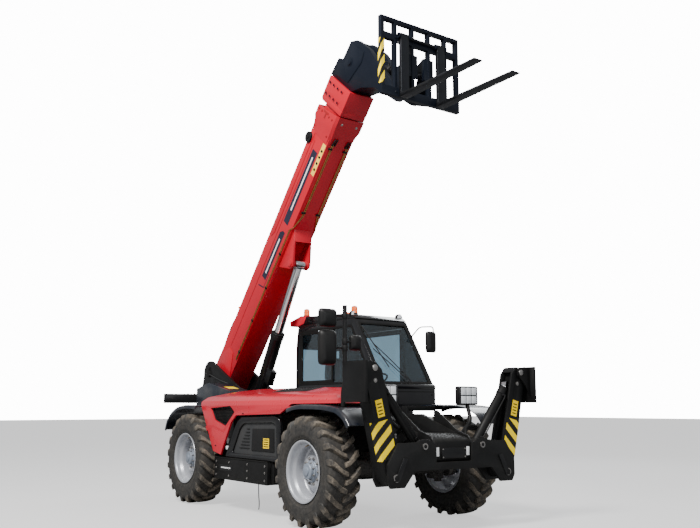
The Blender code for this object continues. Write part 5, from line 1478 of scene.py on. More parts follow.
@dataclass
class Cab(Assembly):
    """The cab's shell, door, glass, seals, roof, lamps and wipers."""

    right: float = 0.225
    left: float = 1.12

    def shell(self) -> None:
        """Refines the shell and door and adds the ledge, seams and bolts."""
        self.fit(refined("cab_shell", "cab_frame", 0.012, 3), GLOSS, slot="black_paint")
        self.fit(refined("cab_door", "cab_door_frame", 0.006, 2), GLOSS, "door", "black_paint")
        self.fit(plate("cab_ledge", Axis.X, behind((0.395, 1.555), (0.385, 1.585), (0.41, 1.612), (0.445, 1.618),
            (0.45, 1.6), (0.41, 1.55)), self.right + 0.004, self.left - 0.004, 0.004), GLOSS)
        seams = [box("seam", (self.right + 0.02, back(0.396), 1.3), (self.left - 0.02, back(0.402), 1.306), 0.0),
            box("seam", (self.right + 0.02, back(0.396), 1.515), (self.left - 0.02, back(0.402), 1.521), 0.0)]
        self.fuse("cab_front_seams", seams, SEAL)
        spots = [(self.right + x, back(0.4), z) for x in (0.06, 0.835) for z in (1.35, 1.48)]
        self.fit(bolts("cab_front_bolts", spots, (0, -1, 0), 0.009), TRIM)
        self.fit(box("cab_floor_lip", (self.right, back(0.86), 0.745), (self.left - 0.05, back(0.88), 0.79), 0.004),
            BLACK)

    def pane_seal(self, name: str, axis: Axis, outline: Sequence[Flat], inner: Sequence[Flat], low: float, high:
        float) -> None:
        """Adds a rubber seal between two outlines.

        Args:
            name: Name of the seal.
            axis: Axis square to the pane.
            outline: Outer outline.
            inner: Outline of the hole.
            low: Lower end along the axis.
            high: Upper end along the axis.
        """
        ring = plate(name, axis, outline, low, high, 0.0)
        hole = plate("hole", axis, inner, low - 0.1, high + 0.1, 0.0)
        ring = rounded(carved(ring, hole), 0.002, 2)
        ring.name = name
        self.fit(ring, SEAL)

    def glass(self) -> None:
        """Refines the panes and adds their seals and the sliding pane's frame."""
        for node, body in (("windscreen", "chassis"), ("right_window", "chassis"), ("rear_window", "chassis"),
            ("door_window", "door")):
            self.fit(refined(node, f"{node}_pane", 0.0), GLASS, body, "glass")
        x = self.right
        outer = behind((0.585, 1.628), (2.352, 1.628), (2.352, 2.412), (1.062, 2.412))
        inner = behind((0.63, 1.655), (2.325, 1.655), (2.325, 2.385), (1.08, 2.385))
        self.pane_seal("right_window_seal", Axis.X, outer, inner, x - 0.006, x + 0.012)
        slider = behind((1.5, 1.655), (2.325, 1.655), (2.325, 2.385), (1.5, 2.385))
        hole = behind((1.535, 1.69), (2.29, 1.69), (2.29, 2.35), (1.535, 2.35))
        self.pane_seal("sliding_pane_frame", Axis.X, slider, hole, x - 0.004, x + 0.01)
        self.fit(box("sliding_pane_handle", (x - 0.012, back(1.545), 1.96), (x + 0.002, back(1.565), 2.06), 0.004),
            TRIM)
        y = 1.14
        outer = [(0.315, 1.54), (1.03, 1.54), (1.03, 2.19), (0.315, 2.19)]
        inner = [(0.345, 1.57), (1.0, 1.57), (1.0, 2.16), (0.345, 2.16)]
        self.pane_seal("rear_window_seal", Axis.Y, outer, inner, y - 0.012, y + 0.004)

    def windscreen_seal(self) -> None:
        """Adds the seal round the sloping windscreen and the wiper."""
        place = lying_on((back(0.43), 1.6), (back(1.0), 2.5))
        corners = [(0.262, 0.02), (1.083, 0.02), (1.083, 0.945), (0.262, 0.945)]
        holes = [(0.292, 0.052), (1.053, 0.052), (1.053, 0.915), (0.292, 0.915)]
        tools = []
        for outline, low, high in ((corners, -0.01, 0.004), (holes, -0.1, 0.1)):
            tools.append(loft("sheet", [[Vector(place(px, along, out)) for px, along in outline] for out in (high,
                low)], 30.0))
        seal = rounded(joined("windscreen_seal", [carved(*tools)]), 0.003, 2)
        self.fit(seal, SEAL)
        arms = []
        for index, (foot_x, tip_x, tip) in enumerate(((0.74, 0.36, 0.6), (0.7, 0.32, 0.52))):
            points = [Vector(place(foot_x, 0.01, 0.016)), Vector(place(foot_x - 0.03, 0.07, 0.028)),
                Vector(place((foot_x + tip_x) / 2, tip * 0.55, 0.026)), Vector(place(tip_x, tip, 0.018))]
            arms.append(tube(f"arm_{index}", smooth_path(points, 5), 0.006))
        blade = [Vector(place(0.47, 0.25, 0.012)), Vector(place(0.29, 0.86, 0.012))]
        arms.append(tube("blade", blade, 0.007))
        pivot = Vector(place(0.72, 0.012, 0.006))
        arms.append(drum("pivot", pivot - Vector((0.03, 0, 0)), pivot + Vector((0.03, 0, 0)), 0.018, 20, 0.004))
        self.fuse("windscreen_wiper", arms, TRIM)

    def roof(self) -> None:
        """Refines the roof and adds its visor, lamps and beacons."""
        self.fit(refined("cab_roof", "cab_roof_shell", 0.01, 3), GLOSS, slot="black_paint")
        for index, (x, y, z) in enumerate(((0.3, back(1.1), 2.556), (0.3, back(2.3), 2.626), (1.04, back(2.3),
            2.626))):
            centre = (x, y, 0.0)
            self.fit(turned(f"beacon_foot_{index}", [(z, 0.05), (z + 0.02, 0.05), (z + 0.024, 0.044), (z + 0.024, 0.0),
                (z, 0.0)], centre, Axis.Z, 1.0, 28), TRIM)
            self.fit(turned(f"beacon_{index}", [(z + 0.024, 0.0), (z + 0.024, 0.044), (z + 0.06, 0.043), (z + 0.064,
                0.04), (z + 0.068, 0.043), (z + 0.105, 0.041), (z + 0.118, 0.032), (z + 0.124, 0.014), (z + 0.125,
                0.0)], centre, Axis.Z, 1.0, 28), AMBER)
        for x, label in ((0.275, "right"), (1.07, "left")):
            y = back(1.13)
            self.fit(turned(f"roof_lamp_{label}", [(y - 0.06, 0.0), (y - 0.06, 0.046), (y - 0.052, 0.052), (y - 0.01,
                0.052), (y + 0.02, 0.032), (y + 0.02, 0.0)], (x, 0.0, 2.56), Axis.Y, 1.0, 32), TRIM)
            self.fit(turned(f"roof_lamp_lens_{label}", [(y - 0.065, 0.0), (y - 0.065, 0.034), (y - 0.061, 0.043), (y -
                0.058, 0.0)], (x, 0.0, 2.56), Axis.Y, 1.0, 32), CLEAR)
        self.fit(plate("cab_visor", Axis.X, behind((2.28, 2.52), (2.42, 2.49), (2.64, 2.505), (2.665, 2.58), (2.36,
            2.646), (2.2, 2.636)), self.right + 0.004, self.left - 0.004, 0.01, 3), HOOD_RED)
        rails = [box("rail", (x, back(1.12), 2.545), (x + 0.02, back(2.32), 2.5625), 0.004) for x in (0.36, 0.97)]
        self.fuse("cab_roof_rails", rails, TRIM)

    def door_gear(self) -> None:
        """Adds the door's handle, lock and hinge bolts."""
        x = self.left
        self.fit(tube("door_handle", smooth_path([(x, back(1.1), 1.3), (x + 0.028, back(1.11), 1.3), (x + 0.03,
            back(1.17), 1.3), (x + 0.028, back(1.23), 1.3), (x, back(1.24), 1.3)], 4), 0.008), TRIM, "door")
        self.fit(drum("door_lock", (x - 0.002, back(1.3), 1.3), (x + 0.006, back(1.3), 1.3), 0.014, 24, 0.002), ZINC,
            "door")
        spots = [(x + 0.001, back(2.02), z + shift) for z in (1.05, 2.1) for shift in (-0.02, 0.02)]
        self.fit(bolts("door_hinge_bolts", spots, (1, 0, 0), 0.007), ZINC, "door")

    def make(self) -> None:
        """Builds the outside of the cab."""
        self.shell()
        self.glass()
        self.windscreen_seal()
        self.roof()
        self.door_gear()


@dataclass
class Interior(Assembly):
    """The seat, console, steering wheel and levers."""

    middle: float = 0.6725

    def cushion(self, name: str, rings: Sequence[tuple[Point, float, float, float]]) -> Piece:
        """Makes one upholstered pad, blown up as cloth and then held near its own form.

        Args:
            name: Name of the pad.
            rings: Middle, half width, half thickness and turn about X of each ring.

        Returns:
            The pad.
        """
        circle = [squared(math.tau * step / 28, 0.35, 0.55) for step in range(28)]
        lines = []
        for centre, half, thick, lean in rings:
            lines.append([Vector(centre) + Vector((cx * half, cz * thick * -math.sin(lean), cz * thick *
                math.cos(lean))) for cx, cz in circle])
        pad = loft(name, lines, 60.0)
        apply_modifier(pad, "REMESH", mode="VOXEL", voxel_size=0.006)
        before = [v.co.copy() for v in pad.data.vertices]
        cloth = pad.modifiers.new("fabric", "CLOTH")
        cloth.settings.use_pressure = True
        cloth.settings.uniform_pressure_force = 4.0
        cloth.settings.tension_stiffness = 12.0
        cloth.settings.bending_stiffness = 0.8
        cloth.settings.effector_weights.gravity = 0.0
        cloth.point_cache.frame_start = 1
        cloth.point_cache.frame_end = 20
        for moment in range(1, 21):
            bpy.context.scene.frame_set(moment)
        take(pad)
        bpy.ops.object.modifier_apply(modifier=cloth.name)
        bpy.context.scene.frame_set(1)
        for vertex, old in zip(pad.data.vertices, before):
            shift = vertex.co - old
            if shift.length > 0.008:
                vertex.co = old + shift.normalized() * 0.008
        apply_modifier(pad, "SUBSURF", levels=1, render_levels=1)
        return smoothed(pad, 80.0)

    def seat(self) -> None:
        """Makes the padded seat on its base."""
        x = self.middle
        base = joined("seat_frame", [box("foot", (x - 0.19, back(1.56), 0.792), (x + 0.19, back(2.01), 0.86), 0.012,
            2), *(box("bellow", (x - 0.16 + inset, back(1.585) + inset, z), (x + 0.16 - inset, back(1.985) - inset, z +
            0.045), 0.012, 2) for z, inset in ((0.86, 0.0), (0.905, 0.014), (0.95, 0.0), (0.995, 0.014), (1.04, 0.0))),
            box("pan", (x - 0.19, back(1.555), 1.085), (x + 0.19, back(2.01), 1.225), 0.02, 3)])
        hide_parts("seat")
        self.fit(base, TRIM)
        bottom = self.cushion("seat_cushion", [((x, back(1.462), 1.3), 0.215, 0.028, 0.0), ((x, back(1.49), 1.308),
            0.238, 0.055, 0.0), ((x, back(1.6), 1.305), 0.245, 0.062, 0.0), ((x, back(1.74), 1.298), 0.245, 0.058,
            0.0), ((x, back(1.88), 1.3), 0.24, 0.055, 0.0), ((x, back(1.965), 1.3), 0.215, 0.035, 0.0)])
        self.fit(bottom, CLOTH, slot="seat_fabric")
        lean = math.radians(78.0)
        rest = self.cushion("seat_backrest", [((x, back(1.935), 1.325), 0.19, 0.03, lean), ((x, back(1.945), 1.36),
            0.215, 0.055, lean), ((x, back(1.985), 1.5), 0.222, 0.058, lean), ((x, back(2.02), 1.66), 0.218, 0.058,
            lean), ((x, back(2.05), 1.8), 0.205, 0.054, lean), ((x, back(2.075), 1.92), 0.18, 0.046, lean), ((x,
            back(2.09), 2.0), 0.15, 0.038, lean), ((x, back(2.095), 2.032), 0.11, 0.02, lean)])
        self.fit(rest, CLOTH, slot="seat_fabric")
        rods = [tube("arm", fillet_path([(x + side * 0.242, back(1.98), 1.42), (x + side * 0.242, back(1.98), 1.47),
            (x + side * 0.242, back(1.66), 1.48)], 0.03), 0.018) for side in (-1, 1)]
        self.fuse("seat_armrests", rods, TRIM)

    def controls(self) -> None:
        """Makes the console, the wheel and the levers."""
        x = self.middle
        console = joined("console_shell", [plate("console", Axis.X, behind((0.935, 0.795), (1.115, 0.795), (1.02, 1.5),
            (0.68, 1.535), (0.62, 1.41), (0.93, 1.34)), x - 0.165, x + 0.165, 0.018, 3), plate("hood", Axis.X,
            behind((0.68, 1.535), (0.86, 1.52), (0.84, 1.575), (0.7, 1.585)), x - 0.12, x + 0.12, 0.01, 2),
            tube("column", [Vector((x, back(0.92), 1.42)), Vector((x, back(1.13), 1.672))], 0.028)])
        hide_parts("steering_console")
        self.fit(console, TRIM)
        self.fit(box("console_screen", (x - 0.09, back(0.845), 1.53), (x + 0.09, back(0.85), 1.57), 0.001), GLOSS)
        axis = Vector((0.0, 0.45, 0.89)).normalized()
        hub = Vector((x, back(1.14), 1.685))
        turn = standing(axis)
        ring = [Vector((math.cos(a) * 0.175, math.sin(a) * 0.175, 0.0)) for a in (math.tau * i / 48 for
            i in range(48))]
        section = [(0.013 * math.cos(a), 0.013 * math.sin(a)) for a in (math.tau * i / 12 for i in range(13))]
        wheel = turned("rim", [(rise, 0.175 + out) for out, rise in section], (0, 0, 0), Axis.Z, 1.0, 64)
        spokes = [tube("spoke", [Vector((0, 0, -0.02)), ring[step] * 0.5 + Vector((0, 0, -0.016)), ring[step]], 0.008)
            for step in (4, 20, 36)]
        boss = turned("boss", [(-0.035, 0.0), (-0.035, 0.03), (0.004, 0.045), (0.012, 0.036), (0.014, 0.0)], (0, 0, 0),
            Axis.Z, 1.0, 32)
        knob = drum("knob", (0.0, -0.175, 0.01), (0.0, -0.175, 0.055), 0.018, 20, 0.006)
        whole = joined("steering_wheel_rim", [wheel, *spokes, boss, knob])
        whole.data.transform(Matrix.Translation(hub) @ turn)
        self.fit(whole, SEAL)
        levers = []
        for px, py, top in ((x - 0.3, back(1.62), 1.62), (x - 0.3, back(1.54), 1.58)):
            levers.append(tube("lever", smooth_path([(px, py, 1.3), (px, py - 0.02, top - 0.1), (px + 0.01, py - 0.05,
                top)], 4), 0.007))
            levers.append(drum("grip", (px + 0.01, py - 0.05, top - 0.03), (px + 0.012, py - 0.06, top + 0.06), 0.018,
                20, 0.008))
        levers.append(box("side_box", (x - 0.4, back(1.45), 0.8), (x - 0.27, back(2.05), 1.31), 0.02, 3))
        self.fuse("side_console", levers, TRIM)

    def make(self) -> None:
        """Builds the inside of the cab."""
        self.seat()
        self.controls()


@dataclass
class Mirrors(Assembly):
    """The mirrors on the right post and the left arm."""

    def head(self, name: str, low: Point, high: Point) -> list[Piece]:
        """Makes one mirror: a rounded shell with a bulge, and its glass.

        Args:
            name: Name of the mirror.
            low: Lowest corner of the shell.
            high: Highest corner of the shell.

        Returns:
            The shell and the glass.
        """
        (x0, y0, z0), (x1, y1, z1) = low, high
        mx, mz = (x0 + x1) / 2, (z0 + z1) / 2
        rings = []
        for share, inset in ((0.0, 0.052), (0.12, 0.03), (0.4, 0.01), (0.72, 0.0), (1.0, 0.003)):
            half_x, half_z = (x1 - x0) / 2 - inset, (z1 - z0) / 2 - inset
            ring = (squared(math.tau * step / 32, 0.32, 0.32) for step in range(32))
            rings.append([Vector((mx + half_x * cx, y0 + (y1 - y0) * share, mz + half_z * cz)) for cx, cz in ring])
        shell = loft(f"{name}_shell", rings, 50.0)
        glass = box(f"{name}_glass", (x0 + 0.013, y1 - 0.003, z0 + 0.013), (x1 - 0.013, y1 - 0.0006, z1 - 0.013),
            0.0008)
        glass.data.transform(Matrix.Translation((0, 0.0026, 0)))
        return [shell, glass]

    def right(self) -> None:
        """Builds the right post with its three mirrors."""
        x, y = -1.07, back(-0.61)
        foot = back(-0.58)
        low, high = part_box("mirror_post")
        post = [tube("post", fillet_path([(x, foot, low.z + 0.002), (x, foot, low.z + 0.16), (x, y, low.z + 0.24), (x,
            y, high.z - 0.01)], 0.05), 0.025), drum("cap", (x, y, high.z - 0.012), (x, y, high.z - 0.001), 0.0255, 28,
            0.004)]
        for z, tip in ((2.3, -1.2), (1.95, -1.2), (2.02, -0.99)):
            post.append(tube("arm", [Vector((x, y, z)), Vector((tip, y, z))], 0.011))
            post.append(drum("clamp", (x, y, z - 0.03), (x, y, z + 0.03), 0.032, 24, 0.004))
        whole = joined("mirror_post_tube", post)
        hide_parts("mirror_post")
        self.fit(whole, TRIM)
        for name, corner, far in (("mirror_high", (-1.408, -1.978, 2.17), (-1.18, -1.905, 2.37)), ("mirror_tall",
            (-1.408, -1.978, 1.76), (-1.18, -1.905, 2.14)), ("mirror_small", (-1.0, -1.968, 1.93), (-0.842, -1.905,
            2.1))):
            shell, glass = self.head(name, corner, far)
            self.fit(shell, TRIM)
            self.fit(glass, MIRROR)

    def left(self) -> None:
        """Builds the left mirror on its bent arm."""
        y = -0.429
        low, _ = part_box("left_mirror")
        route = fillet_path([(1.1235, y, 2.28), (1.162, y - 0.14, 2.41), (1.4, y - 0.15, 2.427), (1.4, y - 0.15,
            2.31)], 0.05)
        arm = tube("left_mirror_arm", route, 0.0095)
        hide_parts("left_mirror")
        self.fit(arm, TRIM)
        shell, glass = self.head("left_mirror_head", (1.272, low.y + 0.001, 2.062), (1.448, low.y + 0.068, 2.36))
        self.fit(shell, TRIM)
        self.fit(glass, MIRROR)

    def make(self) -> None:
        """Builds the mirrors."""
        self.right()
        self.left()
# ---- Hood, side box and mudguards ----------------------------------------------------


FRONT_AXLE = joint_place("spin_front_left").y


def back(distance: float) -> float:
    """Returns the place of a station measured back from the front axle."""
    return FRONT_AXLE + distance


def behind(*corners: Flat) -> list[Flat]:
    """Returns corners whose stations are measured back from the front axle."""
    return [(back(y), z) for y, z in corners]


@dataclass
class EngineHood(Assembly):
    """The red engine hood with its intake, louvres and top grille."""

    home: str = field(default="hood", init=False)
    outer: float = -1.12
    wall: float = 0.025

    def intake_outline(self, grow: float) -> list[Flat]:
        """Returns the side intake's outline, grown by a distance."""
        corners = [(2.5, 1.305), (1.93, 1.335), (1.8, 1.255), (2.05, 1.07), (2.38, 1.15)]
        middle = (sum(y for y, _ in corners) / 5, sum(z for _, z in corners) / 5)
        grown = []
        for y, z in corners:
            reach = math.hypot(y - middle[0], z - middle[1])
            grown.append((back(y + (y - middle[0]) / reach * grow), z + (z - middle[1]) / reach * grow))
        return grown

    def shell(self) -> None:
        """Makes the hood's skin with its intake cut through."""
        shell = refined("engine_hood", "engine_hood_skin", 0.0)
        cut = plate("cut", Axis.X, self.intake_outline(0.0), self.outer - 0.05, self.outer + 0.06, 0.018, 3, 20.0)
        shell = carved(shell, cut)
        rounded(shell, 0.014, 4, 24.0)
        smoothed(shell, 40.0)
        self.fit(shell, HOOD_RED, slot="red_paint")

    def intake(self) -> None:
        """Fills the intake with a dark frame and slanted louvres."""
        rim = plate("intake_rim", Axis.X, self.intake_outline(0.012), self.outer + 0.02, self.outer + 0.032, 0.0)
        hole = plate("hole", Axis.X, self.intake_outline(-0.022), self.outer - 0.1, self.outer + 0.1, 0.0)
        rim = rounded(carved(rim, hole), 0.002, 2)
        self.fit(rim, TRIM)
        self.fit(plate("intake_back", Axis.X, self.intake_outline(0.004), self.outer + 0.046, self.outer + 0.05, 0.0),
            MESH_GREY)
        slats = []
        for index in range(13):
            z = 1.085 + index * 0.0195
            low = 2.05 - (z - 1.07) * 1.35 if z < 1.255 else 1.8 + (z - 1.255) * 1.5
            high = 2.05 + (z - 1.07) * 4.1 if z < 1.15 else 2.38 + (z - 1.15) * 0.75
            if high - low > 0.08:
                slats.append(plate("slat", Axis.Y, [(self.outer + 0.03, z), (self.outer + 0.0325, z + 0.002),
                    (self.outer + 0.046, z + 0.012), (self.outer + 0.044, z + 0.009)], back(low + 0.02), back(high -
                    0.02), 0.0))
        self.fuse("intake_louvres", slats, TRIM)

    def laid_on_skin(self, name: str, low: Flat, high: Flat, steps: tuple[int, int], lift: float, thick:
        float) -> Piece:
        """Makes a thin panel that follows the hood's top.

        Args:
            name: Name of the panel.
            low: Lowest corner across and along.
            high: Highest corner across and along.
            steps: Faces across and along.
            lift: Height over the skin.
            thick: Thickness of the panel.

        Returns:
            The panel.
        """
        deselect()
        bpy.ops.mesh.primitive_grid_add(x_subdivisions=steps[0], y_subdivisions=steps[1], size=1.0)
        panel = bpy.context.object
        panel.name = name
        panel.scale = (high[0] - low[0], high[1] - low[1], 1.0)
        panel.location = ((low[0] + high[0]) / 2, (low[1] + high[1]) / 2, 1.8)
        settle(panel)
        apply_modifier(panel, "SHRINKWRAP", target=bpy.data.objects["engine_hood_skin"], wrap_method="PROJECT",
            use_project_z=True, use_negative_direction=True, use_positive_direction=False, offset=lift)
        apply_modifier(panel, "SOLIDIFY", thickness=thick, offset=1.0)
        return outward(panel)

    def top_grille(self) -> None:
        """Adds the dark grille that follows the hood's top."""
        bed = self.laid_on_skin("hood_grille_bed", (-0.86, back(0.46)), (-0.5, back(1.3)), (12, 24), 0.0005, 0.0015)
        self.fit(bed, MESH_GREY)
        slats = []
        for index in range(18):
            y = back(0.5) + index * 0.0445
            slats.append(self.laid_on_skin("slat", (-0.845, y), (-0.515, y + 0.016), (12, 1), 0.0018, 0.0022))
        self.fuse("hood_grille_bars", slats, TRIM)

    def creases(self) -> None:
        """Adds the raised side line and the latches."""
        ridge = [(2.6, 1.0), (2.42, 1.05), (2.1, 0.985), (1.76, 1.235), (1.6, 1.262), (0.62, 1.292), (0.35, 1.325),
            (0.3, 1.338), (0.65, 1.312), (1.6, 1.284), (1.8, 1.255), (2.12, 1.02), (2.42, 1.085), (2.64, 1.06)]
        line = plate("hood_side_line", Axis.X, [(back(y), z) for y, z in ridge], self.outer, self.outer + 0.004, 0.0)
        line.data.transform(Matrix.Translation((-0.0006, 0, 0)))
        self.fit(line, HOOD_RED, slot="red_paint")
        self.fuse("hood_latches", [box("latch", (self.outer - 0.0005, back(y), z), (self.outer + 0.01, back(y) + 0.05,
            z + 0.022), 0.004) for y, z in ((1.55, 1.225), (2.3, 0.8))], TRIM)

    def make(self) -> None:
        """Builds the hood."""
        self.shell()
        self.intake()
        self.top_grille()
        self.creases()


@dataclass
class SideBox(Assembly):
    """The sill box, the black recess under the hood and the left tank with its step."""

    outer: float = -1.11

    def sill(self) -> None:
        """Refines the sill box and adds its bolts, seams and blank plate."""
        self.fit(refined("engine_platform", "engine_platform_box", 0.005, 2), FRAME, slot="black_paint")
        low, high = back(0.95), back(2.36)
        spots = [(self.outer, y, z) for y in (low + 0.06, low + 0.5, high - 0.42, high - 0.06) for z in (0.44, 0.53,
            0.61)]
        self.fit(bolts("sill_bolts", spots, (-1, 0, 0), 0.011), ZINC)
        lips = [box("lip", (self.outer, low, 0.648), (self.outer + 0.03, high, 0.668), 0.003), box("lip_low",
            (self.outer, low + 0.002, 0.388), (self.outer + 0.03, high - 0.002, 0.394), 0.002)]
        self.fuse("sill_lips", lips, FRAME)
        self.fit(box("sill_plate", (self.outer - 0.002, back(1.86), 0.5), (self.outer, back(2.2), 0.575), 0.0), BLACK)
        self.fit(box("sill_strip", (self.outer - 0.0028, back(1.9), 0.53), (self.outer - 0.001, back(2.16), 0.545),
            0.0), WHITE)
        self.fit(box("sill_front_bracket", (self.outer + 0.05, back(0.88), 0.41), (-0.32, back(0.947), 0.64), 0.006),
            FRAME)

    def recess(self) -> None:
        """Adds the moulded frame and panel between the hood and the sill."""
        outline = [(0.69, 0.672), (0.7, 1.13), (0.74, 1.19), (0.82, 1.215), (1.66, 1.195), (1.76, 1.155), (1.84, 1.08),
            (2.09, 0.7), (2.08, 0.672)]
        whole = [(back(y), z) for y, z in outline]
        inner = [(back(y), z) for y, z in [(0.79, 0.73), (0.8, 1.08), (0.83, 1.12), (0.9, 1.135), (1.58, 1.118), (1.66,
            1.09), (1.72, 1.04), (1.9, 0.76), (1.87, 0.73)]]
        x = self.outer + 0.02
        surround = plate("surround", Axis.X, whole, x, x + 0.045, 0.0)
        surround = carved(surround, plate("cut", Axis.X, inner, x - 0.1, x + 0.1, 0.0))
        surround = rounded(surround, 0.012, 3)
        surround.name = "recess_surround"
        self.fit(surround, GLOSS)
        self.fit(plate("recess_panel", Axis.X, inner, x + 0.026, x + 0.044, 0.0), MESH_GREY)
        self.fit(plate("recess_door", Axis.X, [(back(y), z) for y, z in [(0.86, 0.78), (0.87, 1.06), (1.4, 1.05),
            (1.42, 0.78)]], x + 0.016, x + 0.027, 0.006, 3), TRIM)
        ribs = [box("rib", (x + 0.018, back(1.48), z), (x + 0.027, back(1.48 + (1.13 - z) * 0.78), z + 0.01), 0.002)
            for z in (0.8, 0.84, 0.88, 0.92, 0.96, 1.0, 1.04)]
        self.fuse("recess_ribs", ribs, TRIM)
        self.fit(box("recess_label", (x + 0.0145, back(0.98), 0.82), (x + 0.016, back(1.12), 0.94), 0.0), YELLOW)
        marks = [box("mark", (x + 0.0135, back(0.995), z), (x + 0.015, back(1.105), z + 0.012), 0.0) for z in (0.835,
            0.862, 0.889, 0.916)]
        self.fuse("recess_label_lines", marks, TRIM)

    def left_side(self) -> None:
        """Refines the left tank and adds its cap, straps and step treads."""
        self.fit(refined("fuel_tank", "fuel_tank_box", 0.008, 3), FRAME, slot="black_paint")
        self.fit(turned("fuel_cap", [(0.0, 0.055), (0.02, 0.055), (0.024, 0.05), (0.03, 0.048), (0.034, 0.04), (0.034,
            0.0)], (1.078, back(2.05), 0.56), Axis.X, 1.0, 32), TRIM)
        teeth = []
        for row in range(3):
            for index in range(11):
                y = back(1.28) + index * 0.042
                x = 1.075 + row * 0.032
                teeth.append(box("tooth", (x, y, 0.4695), (x + 0.018, y + 0.022, 0.4745), 0.0015, 1))
        self.fuse("step_teeth", teeth, FRAME)
        straps = [box("strap", (0.4, back(y), 0.388), (1.083, back(y) + 0.04, 0.662), 0.003) for y in (1.06, 2.12)]
        self.fuse("tank_straps", straps, BLACK)

    def strap(self) -> None:
        """Hangs the ground strap under the sill."""
        route = smooth_path([(-0.98, 0.06, 0.3895), (-0.98, 0.061, 0.33), (-0.979, 0.055, 0.24), (-0.977, 0.044, 0.15),
            (-0.978, 0.043, 0.1), (-0.98, 0.046, 0.062)], 6)
        strap = tube("ground_strap_rubber", route, 0.0058)
        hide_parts("ground_strap")
        self.fit(strap, SEAL, slot="strap_rubber")

    def make(self) -> None:
        """Builds the side boxes."""
        self.sill()
        self.recess()
        self.left_side()
        self.strap()


@dataclass
class Mudguards(Assembly):
    """The four moulded mudguards, lofted smooth with rolled edges."""

    thick: float = 0.012

    def line(self, axle: str) -> list[Flat]:
        """Returns the outer line of a mudguard in side view."""
        if axle == "front":
            return [(-0.875, 1.135), (-0.8, 1.222), (-0.71, 1.275), (-0.62, 1.312), (-0.46, 1.334), (-0.3, 1.345),
                (-0.06, 1.349), (0.1, 1.349), (0.26, 1.334), (0.38, 1.306)]
        return [(2.815, 1.338), (2.9, 1.344), (2.99, 1.349), (3.17, 1.349), (3.3, 1.338), (3.43, 1.322), (3.56, 1.278),
            (3.65, 1.236), (3.73, 1.175), (3.79, 1.115), (3.845, 0.995)]

    def guard(self, axle: str, side: float, label: str) -> Piece:
        """Lofts one mudguard.

        Args:
            axle: Front or rear.
            side: Sign of the side.
            label: Name of the side.

        Returns:
            The mudguard.
        """
        section = [(0.7, 0.0), (0.7, -self.thick), (0.72, -self.thick), (1.17, -self.thick - 0.004), (1.19, -0.022),
            (1.196, -0.052), (1.208, -0.052), (1.2085, -0.02), (1.2, -0.006), (1.185, 0.0), (1.16, 0.0), (1.13,
            -0.0035), (1.1, 0.0), (0.8, 0.0)]
        rings = []
        run = smooth_path([(0.0, back(y), z) for y, z in self.line(axle)], 3)
        for index, spot in enumerate(run):
            before, after = run[max(0, index - 1)], run[min(len(run) - 1, index + 1)]
            tangent = (after - before).normalized()
            normal = Vector((0.0, -tangent.z, tangent.y))
            rings.append([Vector((side * x, 0, 0)) + spot + normal * rise for x, rise in section])
        return loft(f"fender_{axle}_{label}_moulded", rings, 40.0)

    def make(self) -> None:
        """Builds the mudguards and their bolts."""
        for axle in ("front", "rear"):
            for side, label in SIDES:
                piece = self.guard(axle, side, label)
                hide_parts(f"fender_{axle}_{label}")
                self.fit(piece, FENDER, slot="fender_plastic")
                y = back(0.0 if axle == "front" else 3.09)
                spots = [(side * x, y + shift, 1.3475) for x in (0.74, 0.82) for shift in (-0.025, 0.025)]
                self.fit(bolts(f"fender_bolts_{axle}_{label}", spots, (0, 0, 1), 0.01), ZINC)


